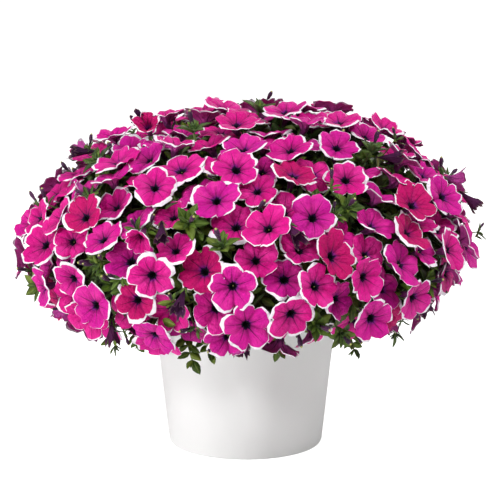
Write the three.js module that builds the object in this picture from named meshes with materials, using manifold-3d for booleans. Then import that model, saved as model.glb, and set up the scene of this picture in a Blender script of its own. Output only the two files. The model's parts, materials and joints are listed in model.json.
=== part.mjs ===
import * as THREE from "three";
import Module from "manifold-3d";

// Potted petunia: a round mound of trumpet flowers that spills over a plain tapered pot.
// Millimetres, Z up. The origin is on the floor, under the middle of the pot.

// Pot
const POT_BASE_RADIUS = 104;
const POT_RIM_RADIUS = 129;
const POT_HEIGHT = 212;
const POT_WALL = 3.5;
const POT_FLOOR = 5;
const POT_BAND_HEIGHT = 20;
const POT_SIDES = 40;
const DRAIN_HOLES = 6;
const DRAIN_HOLE_RADIUS = 6;
const DRAIN_CIRCLE_RADIUS = 66;

// Potting mix
const SOIL_TOP = 195;
const SEAT_GAP = 0.3;
const STEM_COUNT = 9;
const STEM_RADIUS = 4.5;
const STEM_HOLE_DEPTH = 30;

// Mound: the surface that the open flowers make, as an ellipse above the widest level and a
// tighter one below it that turns in towards the pot
const MOUND_RADIUS = 303;
const MOUND_WIDEST_HEIGHT = 263;
const MOUND_RISE = 194;
const MOUND_LOWER_CENTRE = 212;
const MOUND_DROP = 98;
const MOUND_LAST_ANGLE = 172;
const SWELLS = [
  { degrees: 36, azimuth: 6, lift: 17, width: 28 },
  { degrees: 80, azimuth: 5, lift: 9, width: 26 },
  { degrees: 140, azimuth: 0, lift: -20, width: 34 },
  { degrees: 60, azimuth: 155, lift: -5, width: 30 },
  { degrees: 24, azimuth: 190, lift: 5, width: 26 },
  { degrees: 80, azimuth: 80, lift: 8, width: 36 },
  { degrees: 140, azimuth: 205, lift: -8, width: 28 },
];

// Leafy core under the flowers
const CORE_DEPTH = 70;
const CORE_UNDERSIDE = 224;
const CORE_RINGS = 8;
const CORE_SIDES = 22;

// Flowers and leafy shoots
const SITE_COUNT = 350;
const SHOOT_SHARE = 0.1;
const SPRAY_COUNT = 55;
const FLOWER_RADIUS = 25.5;
const FLOWER_RADIUS_SPREAD = 4.5;
const FLOWER_FUNNEL_DEPTH = 12;
const FLOWER_TILT = 24;
const DEPTH_STEP = 5.2;
const PETAL_GAP = 1.5;
const TUBE_DEPTH = 18;
const TUBE_RADIUS = 4.4;
const STALK_RADIUS = 1.2;
const LOBE_POINTS = 15;
const KNUCKLE_RISE = 8;
const KNUCKLE_SPREAD = 0.13;
const LOW_SHOOTS = 20;
const LOW_SHOOT_TRIES = 240;

const GOLDEN_ANGLE = 2.399963229728653;
const UP = new THREE.Vector3(0, 0, 1);

const wasm = await Module();
wasm.setup();
const { Manifold, Mesh } = wasm;

// A repeatable stream of numbers between 0 and 1
function seededDraw(seed) {
  let state = seed;
  const draw = () => {
    state = (state * 16807) % 2147483647;
    return state / 2147483647;
  };
  draw();
  draw();
  draw();
  return draw;
}

function radians(degrees) {
  return (degrees * Math.PI) / 180;
}

// Makes a closed solid from corner points and triangles.
function solidFrom(points, triangles) {
  const vertProperties = new Float32Array(points.flatMap((p) => [p.x, p.y, p.z]));
  const mesh = new Mesh({
    numProp: 3,
    vertProperties,
    triVerts: new Uint32Array(triangles.flat()),
  });
  const solid = new Manifold(mesh);
  if (solid.volume() >= 0) {
    return solid;
  }
  return solidFrom(
    points,
    triangles.map(([a, b, c]) => [a, c, b]),
  );
}

function solidFromGeometry(geometry) {
  const flat = geometry.index ? geometry.toNonIndexed() : geometry;
  const position = flat.getAttribute("position");
  const points = [];
  const triangles = [];
  const known = new Map();
  for (let i = 0; i < position.count; i += 3) {
    const corner = [0, 1, 2].map((k) => {
      const point = new THREE.Vector3().fromBufferAttribute(position, i + k);
      const key = [point.x, point.y, point.z].map((value) => Math.round(value * 1e4)).join();
      if (!known.has(key)) {
        known.set(key, points.length);
        points.push(point);
      }
      return known.get(key);
    });
    if (new Set(corner).size === 3) {
      triangles.push(corner);
    }
  }
  return solidFrom(points, triangles);
}

// Turns a closed profile in the radius-height plane round the Z axis.
function turned(profile, sides) {
  const points = profile.map(([radius, height]) => new THREE.Vector2(radius, height));
  const geometry = new THREE.LatheGeometry(points, sides);
  geometry.rotateX(Math.PI / 2);
  return solidFromGeometry(geometry);
}

function uprightPrism(x, y, bottom, top, radius, sides) {
  const geometry = new THREE.CylinderGeometry(radius, radius, top - bottom, sides);
  geometry.rotateX(Math.PI / 2);
  geometry.translate(x, y, (top + bottom) / 2);
  return solidFromGeometry(geometry);
}

// Pot: an open tapered tub with a plain band round the rim and drainage holes in its flat floor
function potSolid() {
  const wallAt = (height) =>
    POT_BASE_RADIUS + ((POT_RIM_RADIUS - POT_BASE_RADIUS - 2) * height) / POT_HEIGHT;
  const bandFoot = POT_HEIGHT - POT_BAND_HEIGHT;
  const tub = turned(
    [
      [0, 0],
      [POT_BASE_RADIUS - 3.2, 0],
      [POT_BASE_RADIUS - 0.9, 1.1],
      [wallAt(4), 4],
      [wallAt(bandFoot), bandFoot],
      [POT_RIM_RADIUS - 1, bandFoot + 3],
      [POT_RIM_RADIUS, POT_HEIGHT - 1.5],
      [POT_RIM_RADIUS - 1.2, POT_HEIGHT],
      [POT_RIM_RADIUS - POT_WALL - 1.2, POT_HEIGHT],
      [wallAt(bandFoot) - POT_WALL, bandFoot],
      [wallAt(POT_FLOOR) - POT_WALL, POT_FLOOR],
      [0, POT_FLOOR],
    ],
    POT_SIDES,
  );
  const holes = [];
  for (let k = 0; k < DRAIN_HOLES; k += 1) {
    const angle = (2 * Math.PI * k) / DRAIN_HOLES;
    const x = DRAIN_CIRCLE_RADIUS * Math.cos(angle);
    const y = DRAIN_CIRCLE_RADIUS * Math.sin(angle);
    holes.push(uprightPrism(x, y, -5, POT_FLOOR + 5, DRAIN_HOLE_RADIUS, 8));
  }
  return tub.subtract(Manifold.union(holes));
}

// The main stems rise straight from the mix in a loose spiral.
function stemPlaces() {
  const places = [];
  for (let k = 0; k < STEM_COUNT; k += 1) {
    const radius = 88 * Math.sqrt((k + 0.6) / STEM_COUNT);
    const angle = k * GOLDEN_ANGLE;
    places.push([radius * Math.cos(angle), radius * Math.sin(angle)]);
  }
  return places;
}

// Potting mix: fills the pot, slightly domed, with a plain hole for each main stem
function soilSolid() {
  const bandFoot = POT_HEIGHT - POT_BAND_HEIGHT;
  const slope = (POT_RIM_RADIUS - POT_BASE_RADIUS - 2) / POT_HEIGHT;
  const innerAt = (height) => POT_BASE_RADIUS + slope * height - POT_WALL - SEAT_GAP - 0.1;
  const fill = turned(
    [
      [0, POT_FLOOR + SEAT_GAP],
      [innerAt(POT_FLOOR), POT_FLOOR + SEAT_GAP],
      [innerAt(bandFoot - 4), bandFoot - 4],
      [108, SOIL_TOP - 1],
      [60, SOIL_TOP + 2],
      [0, SOIL_TOP + 1],
    ],
    POT_SIDES,
  );
  const holes = stemPlaces().map(([x, y]) =>
    uprightPrism(x, y, SOIL_TOP - STEM_HOLE_DEPTH, SOIL_TOP + 20, STEM_RADIUS + 0.5, 6),
  );
  return fill.subtract(Manifold.union(holes));
}

// How far the mound swells out (or sinks in) at a place
function swellAt(degrees, azimuth) {
  let total = 0;
  for (const swell of SWELLS) {
    const down = degrees - swell.degrees;
    const turn = azimuth - radians(swell.azimuth);
    const round = 57.3 * Math.abs(Math.atan2(Math.sin(turn), Math.cos(turn))) * Math.sin(radians(degrees));
    total += swell.lift * Math.exp(-(down * down + round * round) / (swell.width * swell.width));
  }
  return total;
}

// A point of the mound's section: radius, height and outward direction at an angle from the top
function moundAt(degrees) {
  const angle = radians(degrees);
  if (degrees <= 90) {
    const normal = new THREE.Vector2(Math.sin(angle) / MOUND_RADIUS, Math.cos(angle) / MOUND_RISE);
    normal.normalize();
    return {
      radius: MOUND_RADIUS * Math.sin(angle),
      height: MOUND_WIDEST_HEIGHT + MOUND_RISE * Math.cos(angle),
      normal,
    };
  }
  const reach = MOUND_RADIUS - MOUND_LOWER_CENTRE;
  const normal = new THREE.Vector2(Math.sin(angle) / reach, Math.cos(angle) / MOUND_DROP);
  normal.normalize();
  return {
    radius: MOUND_LOWER_CENTRE + reach * Math.sin(angle),
    height: MOUND_WIDEST_HEIGHT + MOUND_DROP * Math.cos(angle),
    normal,
  };
}

// Angles from the top that cut the mound into bands of equal area
const AREA_STEPS = 688;
const areaUpTo = [0];
for (let k = 1; k <= AREA_STEPS; k += 1) {
  const before = moundAt(((k - 1) * MOUND_LAST_ANGLE) / AREA_STEPS);
  const after = moundAt((k * MOUND_LAST_ANGLE) / AREA_STEPS);
  const length = Math.hypot(after.radius - before.radius, after.height - before.height);
  areaUpTo.push(areaUpTo[k - 1] + length * Math.PI * (after.radius + before.radius));
}

function angleForShare(share) {
  const wanted = share * areaUpTo[AREA_STEPS];
  let k = 1;
  while (areaUpTo[k] < wanted && k < AREA_STEPS) {
    k += 1;
  }
  const part = (wanted - areaUpTo[k - 1]) / (areaUpTo[k] - areaUpTo[k - 1]);
  return ((k - 1 + part) * MOUND_LAST_ANGLE) / AREA_STEPS;
}

// A place on the mound: its centre, outward direction and the two directions along the surface
function placeOn(degrees, azimuth) {
  const section = moundAt(degrees);
  const outward = new THREE.Vector3(
    section.normal.x * Math.cos(azimuth),
    section.normal.x * Math.sin(azimuth),
    section.normal.y,
  );
  const centre = new THREE.Vector3(
    section.radius * Math.cos(azimuth),
    section.radius * Math.sin(azimuth),
    section.height,
  );
  centre.addScaledVector(outward, swellAt(degrees, azimuth));
  const around = new THREE.Vector3(-Math.sin(azimuth), Math.cos(azimuth), 0);
  const down = new THREE.Vector3().crossVectors(around, outward);
  return { centre, outward, around, down, degrees, azimuth };
}

// Leafy core: a lumpy body under the flowers, flat below, where the stems branch
function corePoint(degrees, azimuth) {
  const angle = radians(degrees);
  const ripple = 3 * Math.sin(3 * azimuth + degrees / 9) + 2.5 * Math.sin(7 * azimuth - degrees / 14);
  const lump = ripple + 0.8 * swellAt(degrees, azimuth);
  let radius = (MOUND_RADIUS - CORE_DEPTH + lump) * Math.sin(angle);
  let height = MOUND_WIDEST_HEIGHT + (MOUND_RISE - CORE_DEPTH + lump) * Math.cos(angle);
  if (degrees > 90) {
    radius = 170 + (MOUND_RADIUS - CORE_DEPTH - 170 + lump) * Math.sin(angle);
    height = MOUND_WIDEST_HEIGHT + (MOUND_WIDEST_HEIGHT - CORE_UNDERSIDE) * Math.cos(angle);
  }
  return new THREE.Vector3(radius * Math.cos(azimuth), radius * Math.sin(azimuth), height);
}

const corePoints = [corePoint(0, 0)];
const coreTriangles = [];
for (let ring = 1; ring <= CORE_RINGS; ring += 1) {
  for (let side = 0; side < CORE_SIDES; side += 1) {
    const azimuth = (2 * Math.PI * (side + (ring % 2) / 2)) / CORE_SIDES;
    corePoints.push(corePoint((180 * ring) / CORE_RINGS, azimuth));
  }
}
corePoints.push(new THREE.Vector3(0, 0, CORE_UNDERSIDE));
for (let side = 0; side < CORE_SIDES; side += 1) {
  const next = (side + 1) % CORE_SIDES;
  coreTriangles.push([0, 1 + side, 1 + next]);
  for (let ring = 1; ring < CORE_RINGS; ring += 1) {
    const above = 1 + (ring - 1) * CORE_SIDES;
    const below = above + CORE_SIDES;
    if (ring % 2) {
      coreTriangles.push([above + side, below + next, above + next]);
      coreTriangles.push([above + side, below + side, below + next]);
    } else {
      coreTriangles.push([above + side, below + side, above + next]);
      coreTriangles.push([above + next, below + side, below + next]);
    }
  }
  const last = 1 + (CORE_RINGS - 1) * CORE_SIDES;
  coreTriangles.push([last + side, corePoints.length - 1, last + next]);
}

// The spot where a line from a point of the mound inwards meets the core, and the direction
// in which the core faces there
function coreSeat(place) {
  const aim = corePoint(place.degrees, place.azimuth);
  const ray = new THREE.Ray(place.centre, aim.clone().sub(place.centre).normalize());
  const hit = new THREE.Vector3();
  let seat = null;
  const face = new THREE.Triangle();
  const normal = new THREE.Vector3();
  for (const corners of coreTriangles) {
    face.setFromPointsAndIndices(corePoints, ...corners);
    const found = ray.intersectTriangle(face.a, face.b, face.c, false, hit);
    if (found && (!seat || hit.distanceTo(place.centre) < seat.distanceTo(place.centre))) {
      seat = hit.clone();
      face.getNormal(normal);
    }
  }
  if (normal.dot(place.outward) < 0) {
    normal.negate();
  }
  return { seat, normal };
}

// Sprays: each has one foot on the core, and the flowers nearest to it
const sprays = [];
for (let k = 0; k < SPRAY_COUNT; k += 1) {
  const place = placeOn(angleForShare((k + 0.5) / SPRAY_COUNT), k * GOLDEN_ANGLE + 0.4);
  const { seat, normal } = coreSeat(place);
  const foot = seat.clone().addScaledVector(normal, 0.35);
  const hub = foot.clone().addScaledVector(normal, KNUCKLE_RISE);
  const across = new THREE.Vector3().crossVectors(place.around, normal).normalize();
  const third = new THREE.Vector3().crossVectors(normal, across);
  sprays.push({ place, foot, hub, across, third, flowers: [] });
}

// Where a flower's stalk leaves the flat top of its spray's knuckle: the further out the
// flower, the further from the middle
function stalkSpot(spray, neck) {
  const offset = neck.clone().sub(spray.hub);
  const x = KNUCKLE_SPREAD * offset.dot(spray.across);
  const y = KNUCKLE_SPREAD * offset.dot(spray.third);
  const point = spray.hub.clone().addScaledVector(spray.across, x).addScaledVector(spray.third, y);
  return { x, y, point };
}

// Where a shoot leaves the core: under its place, or a little to the side of a knuckle
function shootRoot(place) {
  let root = null;
  for (let step = 0; step < 30 && !root; step += 1) {
    const shift = 2.4 * Math.sqrt(step);
    const turn = step * GOLDEN_ANGLE;
    const degrees = Math.max(1, place.degrees + shift * Math.cos(turn));
    const azimuth = place.azimuth + (radians(shift) * Math.sin(turn)) / Math.sin(radians(degrees));
    const { seat } = coreSeat(placeOn(degrees, azimuth));
    if (sprays.every(({ hub }) => hub.distanceTo(seat) > 24)) {
      root = seat;
    }
  }
  return root;
}

function nearestSpray(place) {
  let best = sprays[0];
  for (const spray of sprays) {
    if (spray.place.centre.distanceTo(place.centre) < best.place.centre.distanceTo(place.centre)) {
      best = spray;
    }
  }
  return best;
}

// A flower head (or a rosette of leaves): a shallow funnel with a wavy outline of five lobes
function headAt(centre, axis, spin, radius, funnelDepth, draw) {
  const side = new THREE.Vector3().crossVectors(
    Math.abs(axis.z) < 0.9 ? UP : new THREE.Vector3(1, 0, 0),
    axis,
  );
  side.normalize();
  const other = new THREE.Vector3().crossVectors(axis, side);
  const rim = [];
  for (let k = 0; k < LOBE_POINTS; k += 1) {
    const notch = k % 3 === 0;
    const angle = spin + (2 * Math.PI * (k + (draw() - 0.5) * 0.25)) / LOBE_POINTS;
    const reach = notch ? radius * 0.83 : radius * (0.97 + 0.06 * draw());
    const lift = notch ? -1.5 : 4.6 * (draw() - 0.5);
    rim.push({ angle, reach, lift });
  }
  return { centre, axis, side, other, rim, radius, funnelDepth };
}

function toWorld(head, across, upward, out) {
  return head.centre
    .clone()
    .addScaledVector(head.side, across)
    .addScaledVector(head.other, upward)
    .addScaledVector(head.axis, out);
}

// Points spread over a head, for the test that two heads don't cross
function headSamples(head) {
  const samples = [toWorld(head, 0, 0, -head.funnelDepth)];
  head.rim.forEach((point, k) => {
    const next = head.rim[(k + 1) % LOBE_POINTS];
    const x = point.reach * Math.cos(point.angle);
    const y = point.reach * Math.sin(point.angle);
    const nextX = next.reach * Math.cos(next.angle);
    const nextY = next.reach * Math.sin(next.angle);
    samples.push(toWorld(head, x, y, point.lift));
    for (const part of [0.2, 0.4, 0.6, 0.8]) {
      const alongX = x + (nextX - x) * part;
      const alongY = y + (nextY - y) * part;
      samples.push(toWorld(head, alongX, alongY, point.lift + (next.lift - point.lift) * part));
    }
    samples.push(toWorld(head, x * 0.6, y * 0.6, point.lift * 0.6 - head.funnelDepth * 0.4));
  });
  return samples;
}

// Which side of a head a point lies on: 1 in front, -1 behind, 0 outside its outline, and
// null within the head or closer to it than the gap
function sideOf(head, point, gap) {
  const offset = point.clone().sub(head.centre);
  const x = offset.dot(head.side);
  const y = offset.dot(head.other);
  const out = offset.dot(head.axis);
  const distance = Math.hypot(x, y);
  if (distance > head.radius * 1.03 + gap) {
    return 0;
  }
  let turn = (Math.atan2(y, x) - head.rim[0].angle) / (2 * Math.PI);
  turn -= Math.floor(turn);
  const position = turn * LOBE_POINTS;
  const k = Math.floor(position) % LOBE_POINTS;
  const part = position - Math.floor(position);
  const here = head.rim[k];
  const next = head.rim[(k + 1) % LOBE_POINTS];
  const reach = here.reach + (next.reach - here.reach) * part;
  const lift = here.lift + (next.lift - here.lift) * part;
  if (distance > reach + gap) {
    return 0;
  }
  const share = Math.min(distance / reach, 1);
  const front = lift * share - head.funnelDepth * (1 - share);
  const thickness = 7 * (1 - share);
  if (out > front + gap) {
    return 1;
  }
  if (out < front - thickness - gap) {
    return -1;
  }
  return null;
}

// True when all points lie outside a head or on one side of it
function oneSided(head, points, gap) {
  let seen = 0;
  for (const point of points) {
    const side = sideOf(head, point, gap);
    if (side === null || (side !== 0 && seen !== 0 && side !== seen)) {
      return false;
    }
    if (side !== 0) {
      seen = side;
    }
  }
  return true;
}

// True when a chain of points never touches or passes through a head
function chainClear(head, points, gap) {
  let last = 0;
  for (const point of points) {
    const side = sideOf(head, point, gap);
    if (side === null || side * last === -1) {
      return false;
    }
    last = side;
  }
  return true;
}

function stalkPoints(start, end) {
  const steps = Math.max(2, Math.ceil(start.distanceTo(end) / 4));
  const points = [];
  for (let k = 0; k <= steps; k += 1) {
    points.push(start.clone().lerp(end, k / steps));
  }
  return points;
}

// Shortest distance between two straight stalks, taken at points along them
function stalkDistance(first, second) {
  let shortest = Infinity;
  const segment = new THREE.Line3(second[0], second[second.length - 1]);
  const nearest = new THREE.Vector3();
  for (const point of first) {
    segment.closestPointToPoint(point, true, nearest);
    shortest = Math.min(shortest, nearest.distanceTo(point));
  }
  return shortest;
}

// Two plants' parts are clear of each other when neither head nor stalk crosses the other's.
function clearOf(one, other) {
  const reach = one.head.radius + other.head.radius + 8;
  const headsNear = one.head.centre.distanceTo(other.head.centre) < reach;
  if (headsNear) {
    if (!oneSided(other.head, one.samples, PETAL_GAP)) {
      return false;
    }
    if (!oneSided(one.head, other.samples, PETAL_GAP)) {
      return false;
    }
  }
  for (const [head, chain] of [
    [other.head, one.stalk],
    [other.head, one.spike],
    [one.head, other.stalk],
    [one.head, other.spike],
  ]) {
    if (!chainClear(head, chain, 4)) {
      return false;
    }
  }
  const room = one.spray && one.spray === other.spray ? 2 * STALK_RADIUS + 1 : 7;
  return stalkDistance(one.stalk, other.stalk) > room;
}

// Sites spread evenly over the mound in a spiral. Each one tries poses until its head is clear
// of all the heads placed before it, and stays empty when none is.
const plants = [];
for (let site = 0; site < SITE_COUNT; site += 1) {
  const draw = seededDraw(7919 * (site + 1));
  const leafy = draw() < SHOOT_SHARE;
  const degrees = angleForShare((site + 0.5) / SITE_COUNT);
  const azimuth = site * GOLDEN_ANGLE;
  const place = placeOn(degrees, azimuth);
  const spray = leafy ? null : nearestSpray(place);
  const radius = leafy ? 19 + 4 * draw() : FLOWER_RADIUS + FLOWER_RADIUS_SPREAD * draw();
  const bud = draw() < 0.75 ? { x: 8 * (draw() - 0.5), y: 8 * (draw() - 0.5), length: 30 + 7 * draw() } : null;
  for (let attempt = 0; attempt < 70; attempt += 1) {
    const ease = 1 - attempt / 90;
    const depth = ((site + attempt * 2) % 5) * DEPTH_STEP + 2 * draw();
    const tilt = radians(FLOWER_TILT) * Math.sqrt(draw()) * ease;
    const heading = 2 * Math.PI * draw();
    const drift = 5 + attempt / 14;
    const centre = place.centre
      .clone()
      .addScaledVector(place.around, drift * (draw() - 0.5) * 2)
      .addScaledVector(place.down, drift * (draw() - 0.5) * 2)
      .addScaledVector(place.outward, -depth);
    const axis = place.outward
      .clone()
      .multiplyScalar(Math.cos(tilt))
      .addScaledVector(place.around, Math.sin(tilt) * Math.cos(heading))
      .addScaledVector(place.down, Math.sin(tilt) * Math.sin(heading))
      .addScaledVector(UP, 0.08)
      .normalize();
    const head = headAt(centre, axis, 2 * Math.PI * draw(), radius, leafy ? 15 : FLOWER_FUNNEL_DEPTH, draw);
    const neck = toWorld(head, 0, 0, -TUBE_DEPTH);
    const spot = leafy ? null : stalkSpot(spray, neck);
    const root = leafy ? shootRoot(place) : spot.point;
    const plant = { site, leafy, head, neck, root, spot, spray, place, bud };
    plant.samples = headSamples(head);
    plant.stalk = stalkPoints(neck, root);
    plant.spike = leafy && bud ? stalkPoints(neck, toWorld(head, bud.x, bud.y, bud.length - 15)) : [];
    if (plants.every((other) => clearOf(plant, other))) {
      plants.push(plant);
      if (!leafy) {
        spray.flowers.push(plant);
      }
      break;
    }
  }
}

// Joins rings of points from one end of a closed shape to the other. Each ring lists its points
// in turn with their angles, and a ring of one point is a tip.
function ringTriangles(rings) {
  const points = [];
  const triangles = [];
  let last = null;
  for (const ring of rings) {
    const first = points.length;
    points.push(...ring.map((item) => item.point));
    const now = ring.map((item, k) => ({ index: first + k, angle: item.angle }));
    if (last) {
      triangles.push(...stitched(last, now));
    }
    last = now;
  }
  return { points, triangles };
}

function joinedRings(rings) {
  const { points, triangles } = ringTriangles(rings);
  const end = rings[rings.length - 1];
  closeEnd(end, points.length - end.length, triangles);
  return solidFrom(points, triangles);
}

function closeEnd(ring, first, triangles) {
  for (let k = 1; k < ring.length - 1; k += 1) {
    triangles.push([first, first + k, first + k + 1]);
  }
}

// Triangles between two rings, always stepping on in the ring whose next point comes first
function stitched(one, other) {
  const triangles = [];
  const angleAt = (ring, k) => ring[k % ring.length].angle + 2 * Math.PI * Math.floor(k / ring.length);
  let i = 0;
  let j = 0;
  while (i < one.length || j < other.length) {
    const here = one[i % one.length].index;
    const there = other[j % other.length].index;
    const stepOne = other.length === 1 || (one.length > 1 && i < one.length &&
      (j >= other.length || angleAt(one, i + 1) < angleAt(other, j + 1)));
    if (stepOne) {
      if (i >= one.length) {
        break;
      }
      triangles.push([here, one[(i + 1) % one.length].index, there]);
      i += 1;
    } else {
      if (j >= other.length) {
        break;
      }
      triangles.push([here, other[(j + 1) % other.length].index, there]);
      j += 1;
    }
  }
  return triangles;
}

// A small three-sided ring across a head's axis
function neckRing(head, radius, out) {
  const ring = [];
  for (let k = 0; k < 3; k += 1) {
    const angle = head.rim[0].angle + (2 * Math.PI * (k + 0.5)) / 3;
    ring.push({ angle, point: toWorld(head, radius * Math.cos(angle), radius * Math.sin(angle), out) });
  }
  return ring;
}

// The three-sided end of a stalk, turned like the ring at the head's neck
function stalkEnd(head, neck, root, radius) {
  const way = root.clone().sub(neck).normalize();
  const across = head.side.clone().addScaledVector(way, -head.side.dot(way)).normalize();
  const third = new THREE.Vector3().crossVectors(across, way);
  const ring = [];
  for (let k = 0; k < 3; k += 1) {
    const angle = head.rim[0].angle + (2 * Math.PI * (k + 0.5)) / 3;
    const point = root
      .clone()
      .addScaledVector(across, radius * Math.cos(angle))
      .addScaledVector(third, radius * Math.sin(angle));
    ring.push({ angle, point });
  }
  return ring;
}

// The rings of one flower: throat, five-lobed rim, tube and the end of its stalk
function flowerRings({ head, spot, spray }) {
  const outline = head.rim.map(({ angle, reach, lift }) => ({
    angle,
    point: toWorld(head, reach * Math.cos(angle), reach * Math.sin(angle), lift),
  }));
  const throat = [{ angle: 0, point: toWorld(head, 0, 0, -head.funnelDepth) }];
  const tube = neckRing(head, TUBE_RADIUS, -TUBE_DEPTH);
  const twist = Math.atan2(head.side.dot(spray.third), head.side.dot(spray.across));
  const end = tube.map(({ angle }) => {
    const x = spot.x + STALK_RADIUS * Math.cos(angle + twist);
    const y = spot.y + STALK_RADIUS * Math.sin(angle + twist);
    return {
      angle,
      x,
      y,
      point: spray.hub.clone().addScaledVector(spray.across, x).addScaledVector(spray.third, y),
    };
  });
  return [throat, outline, tube, end];
}

// A spray: its flowers' stalks stand on the flat top of a small knuckle, which comes to a point
// on the core. The top is cut into triangles round the ends of the stalks.
function spraySolid(spray) {
  const { foot, hub, across, third, flowers } = spray;
  const points = [foot.clone()];
  const triangles = [];
  const reach = Math.max(...flowers.map(({ spot }) => Math.hypot(spot.x, spot.y)));
  const corners = [0, 1, 2, 3].map((k) => {
    const size = reach * 1.45 + 3.5;
    return new THREE.Vector2(size * Math.cos((Math.PI * k) / 2), size * Math.sin((Math.PI * k) / 2));
  });
  corners.forEach((corner, k) => {
    points.push(hub.clone().addScaledVector(across, corner.x).addScaledVector(third, corner.y));
    triangles.push([0, 1 + ((k + 1) % 4), 1 + k]);
  });
  const flat = [...corners];
  const flatIndex = [1, 2, 3, 4];
  const holes = [];
  for (const flower of flowers) {
    const rings = flowerRings(flower);
    const first = points.length;
    const made = ringTriangles(rings);
    points.push(...made.points);
    triangles.push(...made.triangles.map(([a, b, c]) => [a + first, c + first, b + first]));
    const hole = rings[3].map(({ x, y }) => new THREE.Vector2(x, y));
    holes.push(hole);
    hole.forEach((corner, k) => {
      flat.push(corner);
      flatIndex.push(first + made.points.length - 3 + k);
    });
  }
  for (const face of THREE.ShapeUtils.triangulateShape(corners, holes)) {
    triangles.push(face.map((k) => flatIndex[k]));
  }
  return solidFrom(points, triangles);
}

// A leafy shoot tip: a whorl of ovate leaves on one stalk, with or without a bud in the middle
function shootSolid(shoot, leaves, bud) {
  const { head, neck, root } = shoot;
  const heart = -head.funnelDepth;
  const outline = [];
  for (let k = 0; k < leaves; k += 1) {
    const half = Math.PI / leaves;
    const tip = head.rim[3 * k + 1];
    const reach = tip.reach * 0.98;
    const low = heart + 0.6;
    const shoulder = heart * 0.44 + tip.lift * 0.56 + 0.8;
    for (const [sideways, share, lift] of [
      [-half, 0.16, low],
      [-half * 0.62, 0.56, shoulder],
      [0, 1, tip.lift],
      [half * 0.62, 0.56, shoulder],
    ]) {
      const angle = tip.angle + sideways;
      outline.push({
        angle,
        point: toWorld(head, reach * share * Math.cos(angle), reach * share * Math.sin(angle), lift),
      });
    }
  }
  const top = bud
    ? [
        [{ angle: 0, point: toWorld(head, bud.x, bud.y, bud.length + heart) }],
        neckRing({ ...head, centre: toWorld(head, bud.x * 0.6, bud.y * 0.6, 0) }, 3.8, bud.length * 0.7 + heart),
        neckRing(head, 1.3, heart + 1.6),
      ]
    : [[{ angle: 0, point: toWorld(head, 0, 0, heart + 1.2) }]];
  return joinedRings([
    ...top,
    outline,
    neckRing(head, 1.9, heart - 1.4),
    stalkEnd(head, neck, root, 2),
  ]);
}

// Shoots that stay lower, in the gaps between the sprays, where they are clear of everything
const lowShoots = [];
for (let site = 0; site < LOW_SHOOT_TRIES && lowShoots.length < LOW_SHOOTS; site += 1) {
  const draw = seededDraw(104729 * (site + 1));
  const place = placeOn(angleForShare((site + 0.5) / LOW_SHOOT_TRIES), site * GOLDEN_ANGLE + 1.3);
  const centre = place.centre.clone().addScaledVector(place.outward, -34 - 8 * draw());
  const axis = place.outward.clone().addScaledVector(place.around, 0.5 * (draw() - 0.5)).normalize();
  const head = headAt(centre, axis, 2 * Math.PI * draw(), 19 + 5 * draw(), 12, draw);
  const neck = toWorld(head, 0, 0, -14);
  const shoot = { head, neck, root: shootRoot(place), place, leafy: true, spray: null };
  shoot.samples = headSamples(head);
  shoot.stalk = stalkPoints(neck, shoot.root);
  shoot.spike = [];
  if ([...plants, ...lowShoots].every((other) => clearOf(shoot, other))) {
    lowShoots.push(shoot);
  }
}

// Foliage: core, main stems, leafy shoots and buds as one body
const foliageSolids = [solidFrom(corePoints, coreTriangles)];
for (const [x, y] of stemPlaces()) {
  const bottom = SOIL_TOP - STEM_HOLE_DEPTH + SEAT_GAP;
  foliageSolids.push(uprightPrism(x, y, bottom, CORE_UNDERSIDE + 8, STEM_RADIUS, 6));
}
for (const plant of plants.filter((one) => one.leafy)) {
  const root = plant.root.clone().addScaledVector(plant.place.outward, -5);
  foliageSolids.push(shootSolid({ ...plant, root }, 5, plant.bud));
}
for (const shoot of lowShoots) {
  const root = shoot.root.clone().addScaledVector(shoot.place.outward, -5);
  foliageSolids.push(shootSolid({ ...shoot, root }, 5, null));
}
const foliage = Manifold.union(foliageSolids);

const group = new THREE.Group();

function addPart(name, solid, colour, roughness) {
  const made = solid.getMesh();
  const geometry = new THREE.BufferGeometry();
  geometry.setAttribute("position", new THREE.BufferAttribute(new Float32Array(made.vertProperties), 3));
  geometry.setIndex(new THREE.BufferAttribute(new Uint32Array(made.triVerts), 1));
  const material = new THREE.MeshStandardMaterial({ color: colour, roughness });
  const mesh = new THREE.Mesh(geometry, material);
  mesh.name = name;
  group.add(mesh);
}

addPart("pot", potSolid(), 0xf2f1ee, 0.6);
addPart("potting_mix", soilSolid(), 0x3a2a20, 0.95);
addPart("foliage", foliage, 0x3f6b2c, 0.7);
sprays.forEach((spray, k) => {
  if (spray.flowers.length > 0) {
    addPart(`flowering_spray_${String(k + 1).padStart(2, "0")}`, spraySolid(spray), 0xd21f7a, 0.6);
  }
});

export default group;
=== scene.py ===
# %% [markdown]
# # A potted petunia
# A full-grown petunia in a plain white pot: a mound of magenta flowers with white edges, leafy
# shoots and buds between them, and a few stems that trail over the pot. The solid model gives
# the frame: where the pot stands and where each flower sits. This lesson dresses it, piece by
# piece, with finer shapes and with materials that are all made from formulas.

# %% Start
import json
import math
from types import SimpleNamespace

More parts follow.
